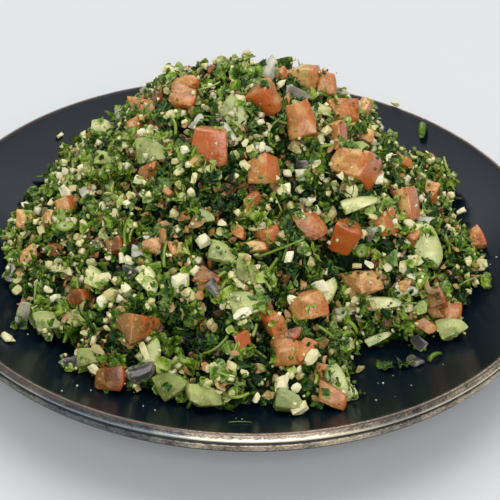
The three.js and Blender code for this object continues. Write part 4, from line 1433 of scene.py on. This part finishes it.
class TabboulehPlateSettings(bpy.types.PropertyGroup):
    """Sizes and colours of the plate."""

    lip_width: length_setting("Lip width", "From the wall's top to the edge", PLATE_RADIUS - WALL_TOP_RADIUS)
    glaze: colour_setting("Glaze", "Dark charcoal-navy glaze", (0.002, 0.0065, 0.0115))
    glaze_cloud: colour_setting("Glaze clouds", "Lighter clouds in the glaze", (0.006, 0.012, 0.019))
    speckle: colour_setting("Speckle", "Fine speckle in the glaze", (0.02, 0.024, 0.028))
    # Painted sheen on the glaze just inside the lip, standing in for reflected light.
    painted_lip_sheen: colour_setting("Worn edge", "Where the glaze runs thin inside the lip", (0.035, 0.036, 0.035))
    copper: colour_setting("Copper line", "Thin line inside the lip", (0.14, 0.095, 0.07))
    # The lip's metal colour, in the band's mottle and in the painted highlight streak on the lower lip.
    lip_metal_and_highlight: colour_setting("Lip", "Bright edge of the lip", (0.85, 0.76, 0.56))
    # Painted highlight on the lower lip, darker and bluer on the left as painted reflection.
    lip_highlight_left: colour_setting("Lip, cool", "The same edge on the left", (0.33, 0.36, 0.4))
    band_dark: colour_setting("Band, dark", "Dark patches of the edge band", (0.09, 0.083, 0.075))
    band_pewter: colour_setting("Band, pewter", "Pewter patches of the edge band", (0.3, 0.28, 0.25))
    band_gold: colour_setting("Band, gold", "Gold patches of the edge band", (0.58, 0.53, 0.44))
    # Painted reflection: the band's metal is darker and bluer on the left and lighter and warmer on the
    # right.
    band_reflection_left: colour_setting("Band, cool", "Tint of the metal on the left", (0.25, 0.31, 0.38))
    band_reflection_right: colour_setting("Band, warm", "Tint of the metal on the right", (1.0, 0.92, 0.8))


class TabboulehSaladSettings(bpy.types.PropertyGroup):
    """Sizes and colours of the salad."""

    leaf_across: length_setting("Leaf", "Width of the largest parsley leaves", 11 * MM)
    grain_length: length_setting("Bulgur grain", "Length of a soaked grain", 3.8 * MM)
    # Painted shade: the blackest parsley tone, for herbs deep in the gaps.
    herb_gap_shade: colour_setting("Herb, deepest", "Parsley in the gaps", (0.002, 0.011, 0.001))
    herb_dark: colour_setting("Herb, dark", "Dark parsley", (0.015, 0.055, 0.003))
    herb_green: colour_setting("Herb, green", "Middle green parsley", (0.09, 0.17, 0.007))
    herb_bright: colour_setting("Herb, bright", "Bright yellow-green parsley", (0.25, 0.39, 0.025))
    herb_pale: colour_setting("Herb, pale", "Palest cut edges", (0.48, 0.54, 0.16))
    herb_deep: colour_setting("Herb, deep cool", "Dark bluish parsley", (0.012, 0.045, 0.009))
    herb_cool: colour_setting("Herb, cool", "Bluish green parsley", (0.085, 0.17, 0.035))
    herb_grey: colour_setting("Herb, grey", "Pale undersides", (0.38, 0.46, 0.17))
    # Painted shade, for tomato lying in shadow.
    tomato_brown: colour_setting("Tomato, brown", "Tomato in shade", (0.15, 0.05, 0.014))
    tomato_red: colour_setting("Tomato, red", "Red flesh", (0.44, 0.12, 0.022))
    tomato_salmon: colour_setting("Tomato, salmon", "Salmon flesh", (0.5, 0.2, 0.055))
    tomato_pale: colour_setting("Tomato, pale", "Pale flesh", (0.62, 0.33, 0.115))
    tomato_gold: colour_setting("Tomato, gold", "Golden flesh", (0.74, 0.48, 0.17))
    tomato_jelly: colour_setting("Tomato, jelly", "Wet flesh round the seeds", (0.4, 0.2, 0.055))
    tomato_skin: colour_setting("Tomato skin", "Skin", (0.52, 0.1, 0.015))
    cucumber_deep: colour_setting("Cucumber, deep", "Wet translucent flesh", (0.17, 0.2, 0.05))
    cucumber_green: colour_setting("Cucumber, green", "Flesh", (0.46, 0.49, 0.16))
    cucumber_pale: colour_setting("Cucumber, pale", "Pale flesh", (0.82, 0.78, 0.4))
    cucumber_skin: colour_setting("Cucumber skin", "Skin", (0.08, 0.17, 0.015))
    # Painted shade: the darkest onion tone, for strips lying in shadow.
    onion_shade: colour_setting("Onion, shade", "Grey translucent onion", (0.04, 0.035, 0.032))
    onion_lavender: colour_setting("Onion, lavender", "Lavender onion", (0.26, 0.25, 0.165))
    onion_white: colour_setting("Onion, white", "White onion", (0.6, 0.59, 0.44))
    onion_edge: colour_setting("Onion, edge", "Purple edge", (0.4, 0.37, 0.31))
    bulgur_straw: colour_setting("Bulgur, straw", "Dark grains", (0.4, 0.31, 0.11))
    bulgur_cream: colour_setting("Bulgur, cream", "Cream grains", (0.68, 0.61, 0.275))
    bulgur_white: colour_setting("Bulgur, white", "Pale grains", (0.86, 0.82, 0.58))
    mince_brown: colour_setting("Mince, brown", "Brown shade between the herbs", (0.07, 0.035, 0.01))
    mince_olive: colour_setting("Mince, olive", "Olive scraps", (0.19, 0.165, 0.045))
    mince_tan: colour_setting("Mince, tan", "Tan scraps", (0.36, 0.26, 0.12))
    stalk_green: colour_setting("Stalk, green", "Stalks", (0.13, 0.205, 0.015))
    stalk_pale: colour_setting("Stalk, pale", "Pale stalks", (0.3, 0.38, 0.055))
    stalk_inside: colour_setting("Stalk, inside", "Cut face of a stalk", (0.42, 0.5, 0.2))


class TabboulehStageSettings(bpy.types.PropertyGroup):
    """Floor and light."""

    floor: colour_setting("Floor", "Plain pale floor", (0.62, 0.625, 0.63))
    floor_width: length_setting("Floor width", "Width of the floor", 8.0)
    sky: bpy.props.FloatProperty(
        name="Sky light", description="Strength of the even light", default=0.36, min=0)
    lamp: bpy.props.FloatProperty(
        name="Lamp", description="Power of the large soft lamp", default=29.0, min=0, unit="POWER")
    fill: bpy.props.FloatProperty(
        name="Fill lamp", description="Power of the lamp near the camera", default=18.0, min=0, unit="POWER")


# ---------------------------------------------------------------- operators


# Distances inside the plate's edge and heights, in millimetres. The foot's are radii and heights.
RIM_PROFILE = np.array((
    (-0.9, 18.7), (-0.3, 19), (0, 19.6), (0, 21.2), (-0.2, 21.5), (-0.7, 21.6), (-0.8, 22), (-0.7, 22.5),
    (-0.2, 22.6), (0, 22.9), (-0.1, 23.3), (-0.5, 23.7), (-0.8, 24.3), (-1.1, 24.8), (-1.5, 24.9),
    (-1.9, 24.75),
))
FOOT_PROFILE = np.array((
    (0, 2.2), (54.2, 2.2), (55.2, 2.0), (56, 0.2), (56.5, 0), (59.5, 0), (60, 0.2), (60.8, 2.0)))
UNDERSIDE_START = 61.5 * MM
UNDERSIDE_INSET = 62.4 * MM  # its start and the gap between its end and the edge
UNDERSIDE_RISE = 16.2 * MM
UNDERSIDE_CURVE = 1.5  # power of its rise from the foot to the edge
PLATE_AROUND = 150

CORE_AROUND, CORE_RINGS = 300, 46
CORE_MARGIN = 3.5 * MM  # how far inside the heap's outline its own lies
CORE_DEPTH = 6.0  # in millimetres under the heap's skin
CORE_LUMPS = (1.5, 9 * MM), (0.9, 4 * MM), (0.7, 2.5 * MM)  # height in millimetres and length of the waves
CORE_UNDER_SHARES = np.linspace(0.98, 0.1, 8)  # rings of its underside, as shares of its outline
CORE_TOP_DEPTH = 5.5 * MM
CORE_GLOSS = 0.45
# Painted shade: the core's tone is near black, so gaps between the loose pieces look shadowed.
CORE_SHADE_TONE, CORE_MOTTLE = 0.1, 0.1
CORE_PATCHES = 3 * MM
CORE_CRINKLE = 4 * MM


class TABBOULEH_OT_plate(bpy.types.Operator):
    """Turn the plate: one closed profile of foot, underside, edge band, groove, lip, wall and well"""

    bl_idname = "tabbouleh.plate"
    bl_label = "Plate"

    def execute(self, context):
        settings = context.scene.tabbouleh_plate
        wall = WALL_TOP_RADIUS
        edge = wall + settings.lip_width
        share = np.linspace(0, 1, 8)
        rise = FOOT_HEIGHT + UNDERSIDE_RISE * share**UNDERSIDE_CURVE
        under = np.stack([UNDERSIDE_START + (edge - UNDERSIDE_INSET) * share, rise], axis=1)
        radius = wall + (WELL_RADIUS - wall) * np.linspace(0, 1, 12)
        dish = np.stack([radius, plate_height(radius)], axis=1)
        foot, rim, middle = FOOT_PROFILE * MM, RIM_PROFILE * MM + (edge, 0), [(0, WELL_FLOOR)]
        outline = np.concatenate([foot, under, rim, dish, middle])
        points, faces = lathe(rounded(outline), PLATE_AROUND)
        new_piece("plate_body", points, faces, plate_finish(settings), "plate_glaze", "plate")
        return {"FINISHED"}


class TABBOULEH_OT_core(bpy.types.Operator):
    """Build the mass of herbs under the loose pieces: the heap sunk a little, with lumps on it, near black as
    painted shade in the gaps
    """

    bl_idname = "tabbouleh.core"
    bl_label = "Herb core"

    def execute(self, context):
        rng = draws("core")
        angle = spokes(CORE_AROUND)
        share = (np.arange(1, CORE_RINGS + 1) / CORE_RINGS)[:, None]
        skin, normal = skin_places(angle, share * (1 - CORE_MARGIN / heap_edge(angle)))
        outline = skin[-1, :, :2]
        skin, normal = skin.reshape(-1, 3), normal.reshape(-1, 3)
        lumpy = sum(height * lumps(skin, length, rng) for height, length in CORE_LUMPS)
        shallow = np.minimum(1, 4 * (1 - share) + 0.2).repeat(CORE_AROUND)  # less deep near the outline
        depth = ((CORE_DEPTH - lumpy) * MM * shallow + np.maximum(0, -relief(skin)[0])) / normal[:, 2]
        floor = plate_height(np.hypot(skin[:, 0], skin[:, 1])) + 2 * GAP
        skin[:, 2] = np.maximum(skin[:, 2] - depth, floor)
        x, y = CORE_UNDER_SHARES[:, None] * outline.T[:, None]
        under = np.stack([x, y, plate_height(np.hypot(x, y)) + GAP], axis=2).reshape(-1, 3)
        rings = np.concatenate([skin, under])
        top = (0, 0, float(heap_top(np.zeros(1), np.zeros(1))[0]) - CORE_TOP_DEPTH)
        points, faces = capped(rings, len(rings) // CORE_AROUND, CORE_AROUND, top, (0, 0, WELL_FLOOR + GAP))
        tone = CORE_SHADE_TONE + CORE_MOTTLE * lumps(points, CORE_PATCHES, rng)
        finish = herb_finish("herb_core", context.scene.tabbouleh_salad, CORE_GLOSS)
        own = points / CORE_CRINKLE * (1, 1, 0)
        marks = {"mark": 0 * tone, "tone": tone, "own": own}
        new_piece("herb_core", points, faces, finish, "salad", "salad", smooth=False, **marks)
        return {"FINISHED"}


class TABBOULEH_OT_tomato(bpy.types.Operator):
    """Strew the diced tomato"""

    bl_idname = "tabbouleh.tomato"
    bl_label = "Tomato"

    def execute(self, context):
        shapes = variants(tomato_shape, draws("tomato"))
        layout()[0]["tomato"].piece("tomato_dice", shapes, tomato_finish(context.scene.tabbouleh_salad))
        return {"FINISHED"}


class TABBOULEH_OT_cucumber(bpy.types.Operator):
    """Strew the quarter slices of cucumber"""

    bl_idname = "tabbouleh.cucumber"
    bl_label = "Cucumber"

    def execute(self, context):
        shapes = variants(cucumber_shape, draws("cucumber"))
        layout()[0]["cucumber"].piece("cucumber_dice", shapes, cucumber_finish(context.scene.tabbouleh_salad))
        return {"FINISHED"}


class TABBOULEH_OT_onion(bpy.types.Operator):
    """Strew the strips of onion"""

    bl_idname = "tabbouleh.onion"
    bl_label = "Onion"

    def execute(self, context):
        rng = draws("onion")
        shapes = variants(onion_shape, rng)
        batch = layout()[0]["onion"].plus(scraps_batch(ONION_SCRAPS, rng))
        batch.piece("onion_strips", shapes, onion_finish(context.scene.tabbouleh_salad))
        return {"FINISHED"}


class TABBOULEH_OT_bulgur(bpy.types.Operator):
    """Strew the bulgur grains"""

    bl_idname = "tabbouleh.bulgur"
    bl_label = "Bulgur"

    def execute(self, context):
        settings = context.scene.tabbouleh_salad
        rng = draws("bulgur")
        shapes = variants(grain_shape, rng)
        loose = loose_batch(LOOSE_GRAINS, rng, settings.grain_length / MM)
        batch = layout()[0]["grain"].plus(loose).plus(scraps_batch(GRAIN_SCRAPS, rng))
        batch.piece("bulgur_grains", shapes, grain_finish(settings), smooth=False)
        return {"FINISHED"}


class TABBOULEH_OT_stalks(bpy.types.Operator):
    """Strew the cut stems and the slices of green stalk"""

    bl_idname = "tabbouleh.stalks"
    bl_label = "Stalks"

    def execute(self, context):
        rng = draws("stalks")
        finish = stalk_finish(context.scene.tabbouleh_salad)
        loose = loose_batch(LOOSE_STEMS, rng)
        thickness = rng.uniform(*STEM_THICKNESS, (len(loose.places), 1)) * MM
        loose.sizes = loose.sizes * (1, 0, 0) + thickness * (0, 1, 1)
        batch = layout()[0]["stem"].plus(loose).plus(scraps_batch(STEM_SCRAPS, rng))
        batch.piece("herb_stems", variants(stem_shape, rng), finish)
        loose = loose_batch(LOOSE_SLICES, rng)
        batch = layout()[0]["slice"].plus(loose).plus(scraps_batch(SLICE_SCRAPS, rng))
        batch.piece("stalk_slices", variants(slice_shape, rng), finish)
        return {"FINISHED"}


class TABBOULEH_OT_parsley(bpy.types.Operator):
    """Strew the parsley: whole leaf ends, dark chopped bits and bright chopped bits"""

    bl_idname = "tabbouleh.parsley"
    bl_label = "Parsley"

    def execute(self, context):
        settings = context.scene.tabbouleh_salad
        finish = herb_finish("parsley", settings)
        rng = draws("parsley")
        leaves = loose_batch(LEAVES, rng, settings.leaf_across / MM).plus(scraps_batch(LEAF_SCRAPS, rng))
        leaves.piece("parsley_leaves", variants(leaf_shape, rng), finish)
        curls = loose_batch(CURLS, rng)
        curls.piece("parsley_curls", variants(ruffled_shape, rng), finish)
        dark = loose_batch(DARK_BITS, rng)
        dark.piece("parsley_dark", variants(chopped_shape, rng), finish, smooth=False)
        bright = loose_batch(BRIGHT_BITS, rng).plus(stuck_batch(STUCK_PARSLEY, rng))
        bright.piece("parsley_bright", variants(chopped_shape, rng), finish, smooth=False)
        return {"FINISHED"}


class TABBOULEH_OT_mince(bpy.types.Operator):
    """Strew the minced vegetables that lie between the herbs"""

    bl_idname = "tabbouleh.mince"
    bl_label = "Mince"

    def execute(self, context):
        rng = draws("mince")
        finish = mince_finish(context.scene.tabbouleh_salad)
        shards, mince = loose_batch(SHARDS, rng), loose_batch(MINCE, rng)
        for name, loose in (("vegetable_shards", shards), ("vegetable_mince", mince)):
            loose.sizes = loose.sizes * rng.uniform(*MINCE_SIDES, (len(loose.places), 3))
            loose.piece(name, variants(shard_shape, rng), finish, smooth=False)
        return {"FINISHED"}


class TABBOULEH_OT_crumbs(bpy.types.Operator):
    """Strew the fine scraps of the chopping"""

    bl_idname = "tabbouleh.crumbs"
    bl_label = "Crumbs"

    def execute(self, context):
        rng = draws("crumbs")
        loose = loose_batch(CRUMBS, rng).plus(stuck_batch(STUCK_CRUMBS, rng)).plus(droplets_batch(rng))
        finish = crumb_finish(context.scene.tabbouleh_salad)
        loose.piece("chopping_crumbs", variants(crumb_shape, rng), finish)
        return {"FINISHED"}


FLOOR_CLOUDS = 400 * MM
FLOOR_MOTTLE = 0.04
FLOOR_GREY = (0.5, 0.5, 0.5)
LAMP_TARGET = (0, 0, 30 * MM)
SOFT_LAMP_SIZE, SOFT_LAMP_PLACE = 1.8, (0, 0.85, 1.6)
FILL_LAMP_SIZE, FILL_LAMP_PLACE = 1.2, (0.1, -1.3, 0.9)
SKY_COLOUR = (0.91, 0.96, 1, 1)


class TABBOULEH_OT_stage(bpy.types.Operator):
    """Set up the pale floor, the soft light and the camera"""

    bl_idname = "tabbouleh.stage"
    bl_label = "Stage"

    def execute(self, context):
        scene = context.scene
        settings = scene.tabbouleh_stage
        self.add_floor(settings)
        self.add_sky(scene, settings)
        self.add_lamp("soft_lamp", settings.lamp, SOFT_LAMP_SIZE, SOFT_LAMP_PLACE)
        self.add_lamp("fill_lamp", settings.fill, FILL_LAMP_SIZE, FILL_LAMP_PLACE)
        self.add_camera(scene)
        scene.view_settings.view_transform = "Standard"
        return {"FINISHED"}

    def add_floor(self, settings):
        """One flat sheet under the plate."""
        half = settings.floor_width / 2
        mesh = bpy.data.meshes.new("floor")
        corners = [(-half, -half, 0), (half, -half, 0), (half, half, 0), (-half, half, 0)]
        mesh.from_pydata(corners, [], [(0, 1, 2, 3)])
        finish = Finish("floor", Roughness=0.7)
        shade = finish.noise(FLOOR_CLOUDS, 1.0) * FLOOR_MOTTLE
        finish.shade(Base_Color=finish.blend(shade, settings.floor, FLOOR_GREY))
        mesh.materials.append(finish.material)
        floor = bpy.data.objects.new("floor", mesh)
        bpy.context.collection.objects.link(floor)

    def add_sky(self, scene, settings):
        """Even light from all round."""
        world = bpy.data.worlds.new("studio")
        world.use_nodes = True
        background = world.node_tree.nodes["Background"]
        background.inputs["Color"].default_value = SKY_COLOUR
        background.inputs["Strength"].default_value = settings.sky
        scene.world = world

    def add_lamp(self, name, power, size, place):
        """A square soft lamp turned towards the heap."""
        data = bpy.data.lights.new(name, "AREA")
        data.energy, data.size = power, size
        lamp = bpy.data.objects.new(name, data)
        back = unit(np.array(place, float) - LAMP_TARGET)
        right = unit(np.cross((0, 0, 1), back))
        lamp.matrix_world = turned_matrix((right, np.cross(back, right), back), place)
        bpy.context.collection.objects.link(lamp)

    def add_camera(self, scene):
        """The camera, from its solved place, elevation and roll."""
        data = bpy.data.cameras.new("camera")
        data.lens, data.sensor_width, data.sensor_fit = FOCAL_LENGTH, SENSOR_WIDTH, "HORIZONTAL"
        data.clip_start, data.clip_end = 0.01, 20
        camera = bpy.data.objects.new("camera", data)
        camera.matrix_world = turned_matrix(camera_axes(), CAMERA_PLACE)
        bpy.context.collection.objects.link(camera)
        scene.camera = camera


def turned_matrix(axes, place):
    """The matrix of an object whose axes point these ways and whose origin is at this place."""
    matrix = np.eye(4)
    matrix[:3, :3] = np.stack(axes, axis=1)
    matrix[:3, 3] = place
    return Matrix(matrix.tolist())


# ---------------------------------------------------------------- panel and registration

OPERATORS = (
    TABBOULEH_OT_stage,
    TABBOULEH_OT_plate,
    TABBOULEH_OT_core,
    TABBOULEH_OT_tomato,
    TABBOULEH_OT_cucumber,
    TABBOULEH_OT_onion,
    TABBOULEH_OT_bulgur,
    TABBOULEH_OT_stalks,
    TABBOULEH_OT_parsley,
    TABBOULEH_OT_mince,
    TABBOULEH_OT_crumbs,
)
SETTINGS = {
    "tabbouleh_plate": TabboulehPlateSettings,
    "tabbouleh_salad": TabboulehSaladSettings,
    "tabbouleh_stage": TabboulehStageSettings,
}


class TABBOULEH_PT_pieces(bpy.types.Panel):
    """The pieces of the salad, each with its button"""

    bl_label = "Tabbouleh"
    bl_space_type = "VIEW_3D"
    bl_region_type = "UI"
    bl_category = "Tabbouleh"

    def draw(self, context):
        for operator in OPERATORS:
            self.layout.operator(operator.bl_idname)


CLASSES = (*SETTINGS.values(), *OPERATORS, TABBOULEH_PT_pieces)


def register():
    """Add the classes and the settings to Blender."""
    for item in CLASSES:
        bpy.utils.register_class(item)
    for name, group in SETTINGS.items():
        setattr(bpy.types.Scene, name, bpy.props.PointerProperty(type=group))


def unregister():
    """Take the settings and the classes out again."""
    for name in SETTINGS:
        delattr(bpy.types.Scene, name)
    for item in reversed(CLASSES):
        bpy.utils.unregister_class(item)


def main():
    """Build everything in order."""
    register()
    for operator in OPERATORS:
        group, name = operator.bl_idname.split(".")
        getattr(getattr(bpy.ops, group), name)()


if __name__ == "__main__":
    main()
